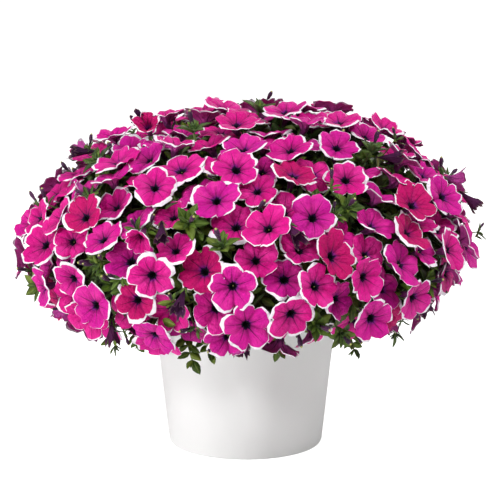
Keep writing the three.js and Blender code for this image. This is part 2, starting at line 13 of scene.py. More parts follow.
import bpy
import numpy as np
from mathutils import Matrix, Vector

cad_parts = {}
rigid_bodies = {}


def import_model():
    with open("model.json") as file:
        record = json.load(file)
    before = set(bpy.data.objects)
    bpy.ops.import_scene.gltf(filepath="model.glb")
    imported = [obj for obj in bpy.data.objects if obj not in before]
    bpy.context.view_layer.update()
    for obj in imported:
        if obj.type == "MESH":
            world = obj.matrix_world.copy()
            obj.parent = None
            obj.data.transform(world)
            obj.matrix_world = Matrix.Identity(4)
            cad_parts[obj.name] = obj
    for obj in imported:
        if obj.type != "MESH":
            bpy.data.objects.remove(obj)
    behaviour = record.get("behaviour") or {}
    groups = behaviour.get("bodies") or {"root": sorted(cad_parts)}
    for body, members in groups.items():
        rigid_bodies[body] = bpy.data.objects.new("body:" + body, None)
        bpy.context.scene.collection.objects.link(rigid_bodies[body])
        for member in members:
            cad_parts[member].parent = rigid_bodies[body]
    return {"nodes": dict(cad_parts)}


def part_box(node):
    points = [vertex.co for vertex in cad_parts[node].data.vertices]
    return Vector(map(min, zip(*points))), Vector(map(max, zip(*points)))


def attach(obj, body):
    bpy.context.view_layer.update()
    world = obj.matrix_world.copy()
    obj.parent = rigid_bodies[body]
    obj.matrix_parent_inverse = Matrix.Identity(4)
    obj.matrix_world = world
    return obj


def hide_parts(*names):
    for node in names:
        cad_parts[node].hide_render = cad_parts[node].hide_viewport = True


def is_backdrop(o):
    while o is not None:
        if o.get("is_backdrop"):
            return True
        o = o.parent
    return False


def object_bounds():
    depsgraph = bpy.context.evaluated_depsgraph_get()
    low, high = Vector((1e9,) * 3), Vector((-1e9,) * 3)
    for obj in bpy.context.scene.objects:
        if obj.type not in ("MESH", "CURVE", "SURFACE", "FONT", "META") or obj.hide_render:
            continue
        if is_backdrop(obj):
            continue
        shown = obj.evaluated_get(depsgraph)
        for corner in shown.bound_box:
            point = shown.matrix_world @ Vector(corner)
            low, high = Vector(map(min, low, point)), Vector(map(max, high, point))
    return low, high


for spare in list(bpy.data.objects):
    bpy.data.objects.remove(spare)
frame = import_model()
bpy.context.view_layer.update()
solid_low, solid_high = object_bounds()
print("solid model:", [round(v, 3) for v in solid_low], [round(v, 3) for v in solid_high])

# %% [markdown]
# ## The rule that placed the flowers
# The solid model sets its flowers by a rule: points spread evenly over a mound, each one tilted
# a little at random, and kept only where it is clear of its neighbours. The same rule with the
# same seeds is written here again, so each fine flower grows from the place and the pose of its
# plain one. Lengths are in millimetres until a mesh is made.

# %% Sizes of the plant and the pot
MM = 0.001
POT_BASE_RADIUS, POT_RIM_RADIUS, POT_HEIGHT = 104, 129, 212
POT_WALL, POT_FLOOR, POT_BAND_HEIGHT = 3.5, 5, 20
DRAIN_HOLES, DRAIN_HOLE_RADIUS, DRAIN_CIRCLE_RADIUS = 6, 6, 66
SOIL_TOP, STEM_COUNT, STEM_HOLE_DEPTH = 195, 9, 30
MOUND_RADIUS, MOUND_WIDEST_HEIGHT, MOUND_RISE = 303, 263, 194
MOUND_LOWER_CENTRE, MOUND_DROP, MOUND_LAST_ANGLE = 212, 98, 172
CORE_DEPTH, CORE_UNDERSIDE, CORE_FLAT, CORE_RINGS, CORE_SIDES = 70, 224, 170, 8, 22
SITE_COUNT, SHOOT_SHARE, SPRAY_COUNT = 350, 0.1, 55
FLOWER_RADIUS, FLOWER_RADIUS_SPREAD, FLOWER_FUNNEL_DEPTH = 25.5, 4.5, 12
FLOWER_TILT, DEPTH_STEP, PETAL_GAP = 24, 5.2, 1.5
TUBE_DEPTH, STALK_RADIUS, LOBE_POINTS = 18, 1.2, 15
SEAT_GAP, KNUCKLE_RISE, KNUCKLE_SPREAD = 0.35, 8, 0.13
LOW_SHOOTS, LOW_SHOOT_TRIES = 20, 240
GOLDEN_ANGLE = 2.399963229728653
FULL_TURN, FIFTH_TURN, DEGREES_PER_RADIAN = 6.28, 1.2566, 57.3
UP = np.array([0.0, 0.0, 1.0])
# each swelling: degrees from the top, azimuth, lift, width
SWELLS = (
    (36, 6, 17, 28), (80, 5, 9, 26), (140, 0, -20, 34), (60, 155, -5, 30),
    (24, 190, 5, 26), (80, 80, 8, 36), (140, 205, -8, 28),
)
print("pot:", 2 * POT_RIM_RADIUS, "mm wide,", POT_HEIGHT, "mm high")


# %% Angles, unit vectors and repeatable draws
def radians(degrees):
    return degrees * math.pi / 180


def unit(vector):
    return vector / math.sqrt(vector @ vector)


def seeded_draw(seed):
    """A repeatable stream of numbers between 0 and 1."""
    state = seed

    def draw():
        nonlocal state
        state = (state * 16807) % 2147483647
        return state / 2147483647

    for _ in range(3):
        draw()
    return draw


# %% The mound: a point, its outward direction and the directions along its surface
def swell_at(degrees, azimuth):
    total = 0.0
    for middle, side, lift, width in SWELLS:
        turn = azimuth - radians(side)
        turn = abs(math.atan2(math.sin(turn), math.cos(turn)))
        around = DEGREES_PER_RADIAN * turn * math.sin(radians(degrees))
        down = degrees - middle
        total += lift * math.exp(-(down * down + around * around) / (width * width))
    return total


def mound_at(degrees):
    angle = radians(degrees)
    if degrees <= 90:
        reach, rise, middle = MOUND_RADIUS, MOUND_RISE, 0
    else:
        reach, rise, middle = MOUND_RADIUS - MOUND_LOWER_CENTRE, MOUND_DROP, MOUND_LOWER_CENTRE
    normal = unit(np.array([math.sin(angle) / reach, math.cos(angle) / rise]))
    return middle + reach * math.sin(angle), MOUND_WIDEST_HEIGHT + rise * math.cos(angle), normal


AREA_STEPS = 688
area_up_to = [0.0]
for k in range(1, AREA_STEPS + 1):
    radius_a, height_a, _ = mound_at((k - 1) * MOUND_LAST_ANGLE / AREA_STEPS)
    radius_b, height_b, _ = mound_at(k * MOUND_LAST_ANGLE / AREA_STEPS)
    length = math.hypot(radius_b - radius_a, height_b - height_a)
    area_up_to.append(area_up_to[-1] + length * math.pi * (radius_a + radius_b))


def angle_for_share(share):
    """The angle from the top above which this share of the mound's area lies."""
    wanted = share * area_up_to[AREA_STEPS]
    k = 1
    while area_up_to[k] < wanted and k < AREA_STEPS:
        k += 1
    part = (wanted - area_up_to[k - 1]) / (area_up_to[k] - area_up_to[k - 1])
    return (k - 1 + part) * MOUND_LAST_ANGLE / AREA_STEPS


def place_on(degrees, azimuth):
    radius, height, normal = mound_at(degrees)
    cosine, sine = math.cos(azimuth), math.sin(azimuth)
    outward = np.array([normal[0] * cosine, normal[0] * sine, normal[1]])
    centre = np.array([radius * cosine, radius * sine, height])
    centre = centre + outward * swell_at(degrees, azimuth)
    around = np.array([-sine, cosine, 0.0])
    return SimpleNamespace(
        centre=centre, outward=outward, around=around, down=np.cross(around, outward),
        degrees=degrees, azimuth=azimuth,
    )


print("mound area:", round(area_up_to[-1] / 1e6, 3), "square metres")


# %% The leafy core
def core_point(degrees, azimuth):
    angle = radians(degrees)
    ripple = 3 * math.sin(3 * azimuth + degrees / 9) + 2.5 * math.sin(7 * azimuth - degrees / 14)
    lump = ripple + 0.8 * swell_at(degrees, azimuth)
    radius = (MOUND_RADIUS - CORE_DEPTH + lump) * math.sin(angle)
    height = MOUND_WIDEST_HEIGHT + (MOUND_RISE - CORE_DEPTH + lump) * math.cos(angle)
    if degrees > 90:
        radius = CORE_FLAT + (MOUND_RADIUS - CORE_DEPTH - CORE_FLAT + lump) * math.sin(angle)
        height = MOUND_WIDEST_HEIGHT + (MOUND_WIDEST_HEIGHT - CORE_UNDERSIDE) * math.cos(angle)
    return np.array([radius * math.cos(azimuth), radius * math.sin(azimuth), height])


def core_mesh(rings, sides):
    """Corner points and triangles of the core, with its rings turned by half a side in turn."""
    points = [core_point(0, 0)]
    faces = []
    for ring in range(1, rings + 1):
        for side in range(sides):
            turn = 2 * math.pi * (side + (ring % 2) / 2) / sides
            points.append(core_point(180 * ring / rings, turn))
    points.append(np.array([0.0, 0.0, CORE_UNDERSIDE]))
    for side in range(sides):
        after = (side + 1) % sides
        faces.append((0, 1 + side, 1 + after))
        for ring in range(1, rings):
            above = 1 + (ring - 1) * sides
            below = above + sides
            if ring % 2:
                faces.append((above + side, below + after, above + after))
                faces.append((above + side, below + side, below + after))
            else:
                faces.append((above + side, below + side, above + after))
                faces.append((above + after, below + side, below + after))
        last = 1 + (rings - 1) * sides
        faces.append((last + side, len(points) - 1, last + after))
    return np.array(points), faces


core_points, core_faces = core_mesh(CORE_RINGS, CORE_SIDES)
core_a, core_b, core_c = (core_points[[face[k] for face in core_faces]] for k in range(3))
core_cross = np.cross(core_b - core_a, core_c - core_a)
core_normals = core_cross / np.linalg.norm(core_cross, axis=1)[:, None]
print("leafy core:", len(core_faces), "triangles")


# %% The spot on the core under a place
def core_seat(place):
    """Where the line from a place towards the core meets it, and the way the core faces there."""
    ray = unit(core_point(place.degrees, place.azimuth) - place.centre)
    edge_b, edge_c = core_b - core_a, core_c - core_a
    across = np.cross(ray, edge_c)
    spread = np.einsum("ij,ij->i", edge_b, across)
    offset = place.centre - core_a
    u = np.einsum("ij,ij->i", offset, across) / spread
    lift = np.cross(offset, edge_b)
    v = lift @ ray / spread
    distance = np.einsum("ij,ij->i", edge_c, lift) / spread
    distance[(u < 0) | (v < 0) | (u + v > 1) | (distance < 0)] = np.inf
    nearest = int(np.argmin(distance))
    normal = core_normals[nearest]
    if normal @ place.outward < 0:
        normal = -normal
    return place.centre + ray * distance[nearest], normal


# %% The stems that stand on the core, one for each spray
sprays = []
for k in range(SPRAY_COUNT):
    place = place_on(angle_for_share((k + 0.5) / SPRAY_COUNT), k * GOLDEN_ANGLE + 0.4)
    seat, normal = core_seat(place)
    hub = seat + SEAT_GAP * normal + KNUCKLE_RISE * normal
    across = unit(np.cross(place.around, normal))
    sprays.append(SimpleNamespace(
        number=k, place=place, foot=seat + SEAT_GAP * normal, hub=hub, normal=normal,
        across=across, third=np.cross(normal, across), flowers=[],
    ))
spray_centres = np.array([spray.place.centre for spray in sprays])
spray_hubs = np.array([spray.hub for spray in sprays])
print(len(sprays), "stems on the core")

# %% Where leafy shoots leave the core
SPRAY_CLEARANCE = 24


def shoot_root(place):
    """Where a shoot leaves the core: under its place, or a little to the side of a spray."""
    for step in range(30):
        shift = 2.4 * math.sqrt(step)
        turn = step * GOLDEN_ANGLE
        degrees = max(1, place.degrees + shift * math.cos(turn))
        azimuth = place.azimuth + radians(shift) * math.sin(turn) / math.sin(radians(degrees))
        seat, _ = core_seat(place_on(degrees, azimuth))
        if np.linalg.norm(spray_hubs - seat, axis=1).min() > SPRAY_CLEARANCE:
            return seat
    return None


# %% [markdown]
# ## Flower heads
# Each head is a shallow funnel with fifteen points round its rim, three to a lobe. Two heads may
# overlap as seen from outside, one above the other, but they may never pass through each other,
# so every new head is tested against those before it, and so is its stalk.

# %% Heads
NOTCH_REACH, NOTCH_DROP, UNEVEN_TURN = 0.83, 1.5, 0.25
LEAST_REACH, REACH_SPREAD, WIDEST_REACH, LIFT_SPREAD = 0.97, 0.06, 1.03, 4.6


def head_at(centre, axis, spin, radius, funnel, draw):
    side = unit(np.cross(UP if abs(axis[2]) < 0.9 else np.array([1.0, 0.0, 0.0]), axis))
    angle, reach, lift = np.zeros(LOBE_POINTS), np.zeros(LOBE_POINTS), np.zeros(LOBE_POINTS)
    for k in range(LOBE_POINTS):
        notch = k % 3 == 0
        angle[k] = spin + 2 * math.pi * (k + (draw() - 0.5) * UNEVEN_TURN) / LOBE_POINTS
        reach[k] = radius * NOTCH_REACH if notch else radius * (LEAST_REACH + REACH_SPREAD * draw())
        lift[k] = -NOTCH_DROP if notch else LIFT_SPREAD * (draw() - 0.5)
    return SimpleNamespace(
        centre=centre, axis=axis, side=side, other=np.cross(axis, side), spin=spin,
        radius=radius, funnel=funnel, angle=angle, reach=reach, lift=lift,
    )


def in_world(head, x, y, out):
    """A point of a head's own axes, or several points, in the shared frame."""
    x, y, out = (np.asarray(value, float)[..., None] for value in (x, y, out))
    return head.centre + x * head.side + y * head.other + out * head.axis


def head_samples(head):
    """Points spread over a head: its heart, its rim and a ring between them."""
    x, y = head.reach * np.cos(head.angle), head.reach * np.sin(head.angle)
    xs, ys, outs = [np.zeros(1)], [np.zeros(1)], [np.array([-head.funnel])]
    for part in (0, 0.2, 0.4, 0.6, 0.8):
        xs.append(x + (np.roll(x, -1) - x) * part)
        ys.append(y + (np.roll(y, -1) - y) * part)
        outs.append(head.lift + (np.roll(head.lift, -1) - head.lift) * part)
    xs.append(x * 0.6)
    ys.append(y * 0.6)
    outs.append(head.lift * 0.6 - head.funnel * 0.4)
    return in_world(head, np.concatenate(xs), np.concatenate(ys), np.concatenate(outs))


# %% The test that keeps heads and stalks apart
TOUCHING = 9
THROAT_THICKNESS, STALK_STEP = 7, 4


def side_of(head, points, gap):
    """For each point: 1 in front of the head, -1 behind it, 0 outside its outline, or TOUCHING."""
    offset = points - head.centre
    x, y, out = offset @ head.side, offset @ head.other, offset @ head.axis
    distance = np.hypot(x, y)
    turn = (np.arctan2(y, x) - head.angle[0]) / (2 * math.pi)
    position = (turn - np.floor(turn)) * LOBE_POINTS
    here = np.floor(position).astype(int) % LOBE_POINTS
    after = (here + 1) % LOBE_POINTS
    part = position - np.floor(position)
    reach = head.reach[here] + (head.reach[after] - head.reach[here]) * part
    lift = head.lift[here] + (head.lift[after] - head.lift[here]) * part
    share = np.minimum(distance / reach, 1)
    front = lift * share - head.funnel * (1 - share)
    side = np.full(len(points), TOUCHING)
    side[out > front + gap] = 1
    side[out < front - THROAT_THICKNESS * (1 - share) - gap] = -1
    side[(distance > reach + gap) | (distance > head.radius * WIDEST_REACH + gap)] = 0
    return side


def one_sided(head, points, gap):
    side = side_of(head, points, gap)
    return TOUCHING not in side and not (1 in side and -1 in side)


def stalk_points(start, end):
    steps = max(2, math.ceil(np.linalg.norm(end - start) / STALK_STEP))
    return start + (end - start) * (np.arange(steps + 1) / steps)[:, None]


def distance_to_segments(points, starts, ends):
    """The least distance from a set of points to each of several straight stalks."""
    way = ends - starts
    offset = points[:, None, :] - starts[None]
    along = np.einsum("ijk,jk->ij", offset, way) / np.einsum("jk,jk->j", way, way)
    nearest = starts + np.clip(along, 0, 1)[..., None] * way
    return np.linalg.norm(points[:, None, :] - nearest, axis=2).min(axis=0)


# %% The bed: the plants set so far, and the test of a new one against them
STALK_ROOM, HEAD_ROOM, NEARBY, HEADS_NEARBY = 7, 4, 60, 8
SAME_SPRAY_ROOM = 2 * STALK_RADIUS + 1


class Bed:
    """The plants set so far, with their heads and stalks gathered in arrays for quick tests."""

    def __init__(self):
        self.plants = []

    def add(self, plant):
        self.plants.append(plant)
        self.centres = np.array([one.head.centre for one in self.plants])
        self.radii = np.array([one.head.radius for one in self.plants])
        self.starts = np.array([one.stalk[0] for one in self.plants])
        self.ends = np.array([one.stalk[-1] for one in self.plants])
        self.chains = np.concatenate([part for one in self.plants for part in (one.stalk, one.spike)])

    def has_room_for(self, plant):
        """True when neither head, stalk nor bud of a plant crosses those already set."""
        if not self.plants:
            return True
        head = plant.head
        same = np.array([plant.spray is not None and one.spray is plant.spray for one in self.plants])
        room = np.where(same, SAME_SPRAY_ROOM, STALK_ROOM)
        if (distance_to_segments(plant.stalk, self.starts, self.ends) <= room).any():
            return False
        near = self.chains[np.linalg.norm(self.chains - head.centre, axis=1) < NEARBY]
        if TOUCHING in side_of(head, near, HEAD_ROOM):
            return False
        gaps = np.linalg.norm(self.centres - head.centre, axis=1)
        for k in np.flatnonzero(gaps < self.radii + head.radius + HEADS_NEARBY):
            other = self.plants[k]
            if not one_sided(other.head, plant.samples, PETAL_GAP):
                return False
            if not one_sided(head, other.samples, PETAL_GAP):
                return False
        chain = np.concatenate([plant.stalk, plant.spike])
        gaps = np.linalg.norm(self.centres[:, None] - chain, axis=2).min(axis=1)
        for k in np.flatnonzero(gaps < NEARBY):
            if TOUCHING in side_of(self.plants[k].head, chain, HEAD_ROOM):
                return False
        return True


# %% One plant: its spray, the root of its stalk, and all its points
def nearest_spray(place):
    return sprays[int(np.argmin(np.linalg.norm(spray_centres - place.centre, axis=1)))]


def stalk_root(spray, neck):
    """Where a flower's stalk leaves its spray: the further out the flower, the further out."""
    offset = neck - spray.hub
    x, y = KNUCKLE_SPREAD * (offset @ spray.across), KNUCKLE_SPREAD * (offset @ spray.third)
    return spray.hub + x * spray.across + y * spray.third


no_points = np.zeros((0, 3))


def new_plant(head, neck, root, place, leafy=True, spray=None, bud=None, spike=no_points):
    return SimpleNamespace(
        leafy=leafy, head=head, neck=neck, root=root, spray=spray, place=place, bud=bud,
        samples=head_samples(head), stalk=stalk_points(neck, root), spike=spike,
    )


# %% Planting: each site tries poses until its head is clear, or stays empty
PLANTING_SEED, BUD_CHANCE, POSES_TRIED, TILT_EASE, DRIFT_EASE = 7919, 0.75, 70, 90, 14
SHOOT_RADIUS, SHOOT_RADIUS_SPREAD, SHOOT_FUNNEL_DEPTH = 19, 4, 15
BUD_LEAN, BUD_LENGTH, BUD_LENGTH_SPREAD, BUD_TIP = 8, 30, 7, 15
DEPTH_LEVELS, DEPTH_SPREAD, FIRST_DRIFT, SKYWARD = 5, 2, 5, 0.08
bed = Bed()
for site in range(SITE_COUNT):
    draw = seeded_draw(PLANTING_SEED * (site + 1))
    leafy = draw() < SHOOT_SHARE
    place = place_on(angle_for_share((site + 0.5) / SITE_COUNT), site * GOLDEN_ANGLE)
    spray = None if leafy else nearest_spray(place)
    if leafy:
        radius = SHOOT_RADIUS + SHOOT_RADIUS_SPREAD * draw()
    else:
        radius = FLOWER_RADIUS + FLOWER_RADIUS_SPREAD * draw()
    bud = None
    if draw() < BUD_CHANCE:
        bud = (BUD_LEAN * (draw() - 0.5), BUD_LEAN * (draw() - 0.5), BUD_LENGTH + BUD_LENGTH_SPREAD * draw())
    root = shoot_root(place) if leafy else None
    for attempt in range(POSES_TRIED):
        ease = 1 - attempt / TILT_EASE
        depth = ((site + attempt * 2) % DEPTH_LEVELS) * DEPTH_STEP + DEPTH_SPREAD * draw()
        tilt = radians(FLOWER_TILT) * math.sqrt(draw()) * ease
        heading = 2 * math.pi * draw()
        drift = FIRST_DRIFT + attempt / DRIFT_EASE
        centre = place.centre + place.around * (drift * (draw() - 0.5) * 2)
        centre = centre + place.down * (drift * (draw() - 0.5) * 2) - place.outward * depth
        axis = place.outward * math.cos(tilt)
        axis = axis + place.around * (math.sin(tilt) * math.cos(heading))
        axis = unit(axis + place.down * (math.sin(tilt) * math.sin(heading)) + UP * SKYWARD)
        funnel = SHOOT_FUNNEL_DEPTH if leafy else FLOWER_FUNNEL_DEPTH
        head = head_at(centre, axis, 2 * math.pi * draw(), radius, funnel, draw)
        neck = in_world(head, 0, 0, -TUBE_DEPTH)
        end = root if leafy else stalk_root(spray, neck)
        spike = no_points
        if leafy and bud:
            spike = stalk_points(neck, in_world(head, bud[0], bud[1], bud[2] - BUD_TIP))
        plant = new_plant(head, neck, end, place, leafy, spray, bud, spike)
        if bed.has_room_for(plant):
            bed.add(plant)
            if not leafy:
                spray.flowers.append(plant)
            break
flowers = [plant for plant in bed.plants if not plant.leafy]
shoots = [plant for plant in bed.plants if plant.leafy]
print(len(flowers), "flowers and", len(shoots), "leafy shoots")

# %% Shoots that stay lower, in the gaps
LOW_SHOOT_SEED, LOW_TUBE_DEPTH, LOW_FUNNEL_DEPTH, LOW_LEAN = 104729, 14, 12, 0.5
LOW_DEPTH, LOW_DEPTH_SPREAD, LOW_RADIUS, LOW_RADIUS_SPREAD = 34, 8, 19, 5
low_shoots = []
for site in range(LOW_SHOOT_TRIES):
    if len(low_shoots) == LOW_SHOOTS:
        break
    draw = seeded_draw(LOW_SHOOT_SEED * (site + 1))
    share = (site + 0.5) / LOW_SHOOT_TRIES
    place = place_on(angle_for_share(share), site * GOLDEN_ANGLE + 1.3)
    centre = place.centre - place.outward * (LOW_DEPTH + LOW_DEPTH_SPREAD * draw())
    axis = unit(place.outward + place.around * (LOW_LEAN * (draw() - 0.5)))
    spin, radius = 2 * math.pi * draw(), LOW_RADIUS + LOW_RADIUS_SPREAD * draw()
    head = head_at(centre, axis, spin, radius, LOW_FUNNEL_DEPTH, draw)
    shoot = new_plant(head, in_world(head, 0, 0, -LOW_TUBE_DEPTH), shoot_root(place), place)
    if bed.has_room_for(shoot):
        bed.add(shoot)
        low_shoots.append(shoot)
print(len(low_shoots), "low shoots")

# %% How well the rule's flowers fit in the boxes of the solid ones
worst = 0.0
for spray in sprays:
    node = f"flowering_spray_{spray.number + 1:02d}"
    rims = [
        in_world(f.head, f.head.reach * np.cos(f.head.angle), f.head.reach * np.sin(f.head.angle),
                 f.head.lift)
        for f in spray.flowers
    ]
    rims = np.concatenate(rims)
    low, high = (np.array(corner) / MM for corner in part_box(node))
    worst = max(worst, (low - rims.min(axis=0)).max(), (rims.max(axis=0) - high).max())
    spray.node = node
print("a rim reaches past the box of its solid by at most", round(worst, 4), "mm")

# %% [markdown]
# ## Formulas as nodes
# Most shapes and colours below follow a formula. Blender writes formulas as chains of small math
# nodes, which are slow to read. The helpers here let a formula be written as plain arithmetic,
# and make the nodes for it, in a shader tree and in a geometry tree alike.

# %% A node output that can be used in arithmetic
class Field:
    def __init__(self, socket):
        self.socket = socket

    def __add__(self, other):
        return formula("ADD", self, other)

    def __sub__(self, other):
        return formula("SUBTRACT", self, other)

    def __rsub__(self, other):
        return formula("SUBTRACT", other, self)

    def __mul__(self, other):
        return formula("MULTIPLY", self, other)

    def __truediv__(self, other):
        return formula("DIVIDE", self, other)

    def __pow__(self, other):
        return formula("POWER", self, other)

    __radd__, __rmul__ = __add__, __mul__


def tree_of(*values):
    """The node tree that the first field among these values belongs to."""
    return next(value.socket.id_data for value in values if isinstance(value, Field))


def plug(value, slot):
    """Links a field to an input, or sets a plain value on it."""
    if isinstance(value, Field):
        slot.id_data.links.new(value.socket, slot)
    else:
        slot.default_value = value


def new_node(tree, kind, *values, modes=(), **named):
    """Adds a node, sets its modes, and fills its inputs in order or by name, with _ for a space."""
    node = tree.nodes.new(kind)
    for label, mode in dict(modes).items():
        setattr(node, label, mode)
    for value, slot in zip(values, node.inputs):
        plug(value, slot)
    for label, value in named.items():
        plug(value, node.inputs[label.replace("_", " ")])
    return node


def formula(operation, *values, kind="ShaderNodeMath", **named):
    modes = {"operation": operation}
    return Field(new_node(tree_of(*values), kind, *values, modes=modes, **named).outputs[0])


# %% Nodes for vectors, gradual steps, noise and colours
def vectors(operation, *values, **named):
    return formula(operation, *values, kind="ShaderNodeVectorMath", **named)


def vector_of(x, y, z):
    return Field(new_node(tree_of(x, y, z), "ShaderNodeCombineXYZ", x, y, z).outputs[0])


def parts_of(vector):
    node = new_node(tree_of(vector), "ShaderNodeSeparateXYZ", vector)
    return [Field(socket) for socket in node.outputs]


def eased(value, start, end):
    """Goes smoothly from 0 where the value is at the start to 1 where it is at the end."""
    node = new_node(
        tree_of(value), "ShaderNodeMapRange", value, min(start, end), max(start, end),
        modes={"interpolation_type": "SMOOTHSTEP"},
    )
    result = Field(node.outputs[0])
    return 1.0 - result if start > end else result


def cloud(vector, scale, detail=0.0, seed=0.0):
    """Soft noise round 0, between about -0.5 and 0.5."""
    node = new_node(
        tree_of(vector), "ShaderNodeTexNoise", modes={"noise_dimensions": "4D"},
        Vector=vector, W=seed, Scale=scale, Detail=detail,
    )
    return Field(node.outputs[0]) - 0.5


def mixed(share, first, second):
    """One colour turning into another."""
    node = new_node(tree_of(share), "ShaderNodeMix", share, modes={"data_type": "RGBA"})
    plug(first, node.inputs[6])
    plug(second, node.inputs[7])
    return Field(node.outputs[2])


def layered(colour, *layers):
    """Lays colours over a first one, each through its own mask."""
    for mask, over in layers:
        colour = mixed(mask, colour, over)
    return colour


def paint(red, green, blue):
    """A colour as seen on a screen, 0 to 255, turned into light."""
    parts = [value / 255 for value in (red, green, blue)]
    return (*[v / 12.92 if v <= 0.04045 else ((v + 0.055) / 1.055) ** 2.4 for v in parts], 1.0)


# %% [markdown]
# ## Effects that several materials share
# The soft parts of the plant have the same few marks: ribs that run out from a centre, veins
# along a blade, and a fine mottle. Each effect is one shader group, so a fresh petal and a faded
# one get the same ribs with their own values. A group gives out only masks and heights; the
# material decides what colour they turn into.

# %% Making and using a group
def new_tree(family, name, inputs, outputs):
    """A node tree, its named inputs as fields, and the node that takes what it gives out."""
    tree = bpy.data.node_groups.new(name, family + "NodeTree")
    for label, kind, *usual in inputs:
        socket = tree.interface.new_socket(label, in_out="INPUT", socket_type="NodeSocket" + kind)
        if usual:
            socket.default_value = usual[0]
    for label, kind in outputs:
        tree.interface.new_socket(label, in_out="OUTPUT", socket_type="NodeSocket" + kind)
    start, end = tree.nodes.new("NodeGroupInput"), tree.nodes.new("NodeGroupOutput")
    return tree, {label: Field(start.outputs[label]) for label, *_ in inputs}, end


def new_group(name, inputs, outputs):
    return new_tree("Shader", name, inputs, [(label, "Float") for label in outputs])


def use_group(tree, group, **values):
    """Places a group in a material and returns its outputs by name."""
    node = new_node(tree, "ShaderNodeGroup", modes={"node_tree": group}, **values)
    return {socket.name: Field(socket) for socket in node.outputs}


# %% Groups for ribs, blade veins and mottle
ribs, given, end = new_group(
    "radiating_ribs",
    [("Disc", "Vector"), ("Seed", "Float", 0.0), ("Width", "Float", 0.03)],
    ["Ribs", "Veins", "FoldShade", "Distance"],
)
x, y, _ = parts_of(given["Disc"])
out = formula("SQRT", x * x + y * y)
turn = formula("ARCTAN2", y, x) * (5 / (2 * math.pi))
wander = cloud(given["Disc"], 2.2, 1.0, given["Seed"])
across = formula("ABSOLUTE", formula("FRACT", turn + wander * 0.16) - 0.5)
away = across * out * FIFTH_TURN
fade = eased(out, 1.0, 0.62)
broad = given["Width"] * formula("MAXIMUM", 1.6 - out * 1.9, 0.34)
plug(eased(away / broad, 1.0, 0.15) * fade, end.inputs["Ribs"])
fine = formula("ABSOLUTE", formula("FRACT", turn * 5.0 + wander * 2.2 + 0.5) - 0.5)
plug(eased(fine * out, 0.05, 0.01) * fade * 0.8, end.inputs["Veins"])
# FoldShade: a mask along the creases between the lobes, which the petal turns into painted shade.
plug(eased(across, 0.28, 0.5) * eased(out, 1.0, 0.3), end.inputs["FoldShade"])
plug(out, end.inputs["Distance"])

blade_veins, given, end = new_group(
    "blade_veins", [("Blade", "Vector"), ("Pairs", "Float", 6.0)], ["Veins", "Midrib"]
)
x, y, _ = parts_of(given["Blade"])
aside = formula("ABSOLUTE", x)
stripe = formula("ABSOLUTE", formula("FRACT", (y - aside * 0.32) * given["Pairs"]) - 0.5)
plug(eased(stripe, 0.14, 0.02), end.inputs["Veins"])
plug(eased(aside, 0.13, 0.03), end.inputs["Midrib"])

mottle, given, end = new_group(
    "mottle", [("Place", "Vector"), ("Scale", "Float", 50.0), ("Seed", "Float", 0.0)],
    ["Patches", "Grain"],
)
place, scale, seed = given["Place"], given["Scale"], given["Seed"]
plug(cloud(place, scale, 2.0, seed) + 0.5, end.inputs["Patches"])
plug(cloud(place, scale * 9.0, 3.0, seed) + 0.5, end.inputs["Grain"])
print("shared effects:", [group.name for group in (ribs, blade_veins, mottle)])


# %% A new material, and the marks that a mesh carries
def new_material(name, roughness, **sockets):
    material = bpy.data.materials.new(name)
    material.use_nodes = True
    tree = material.node_tree
    surface = tree.nodes["Principled BSDF"]
    surface.inputs["Roughness"].default_value = roughness
    for label, value in sockets.items():
        surface.inputs[label.replace("_", " ")].default_value = value
    return material, tree, surface


def carried(tree, name):
    """A mark stored in the mesh, such as a flower's own random numbers."""
    node = new_node(tree, "ShaderNodeAttribute", modes={"attribute_name": name})
    return Field(node.outputs["Vector"])


def mottled(tree, scale):
    """The mottle by place in the piece itself, so it doesn't follow a blade or a disc."""
    place = Field(tree.nodes.new("ShaderNodeTexCoord").outputs["Object"])
    return use_group(tree, mottle, Place=place, Scale=scale)


def own_tone(tree):
    """A random number from 0 to 1 that differs from one flower, leaf or stalk to the next."""
    return parts_of(carried(tree, "own"))[0]


def bumped(surface, height, strength, distance):
    """Lets the light see a height on the surface, up to a distance in metres."""
    node = new_node(
        surface.id_data, "ShaderNodeBump", Strength=strength, Distance=distance, Height=height,
    )
    plug(Field(node.outputs["Normal"]), surface.inputs["Normal"])


# %% [markdown]
# ## Petal colour
# The petals are a vivid magenta with a darker line down the middle of each lobe, a nearly black
# purple throat, and an uneven white edge that is wide on one lobe and gone on the next. Each
# corolla carries its own flat map: a disc with the throat at the centre and the rim at distance
# 1, so all of these follow the flower however it is bent. Their backs are paler and more lilac,
# and turn dark purple down the tube.

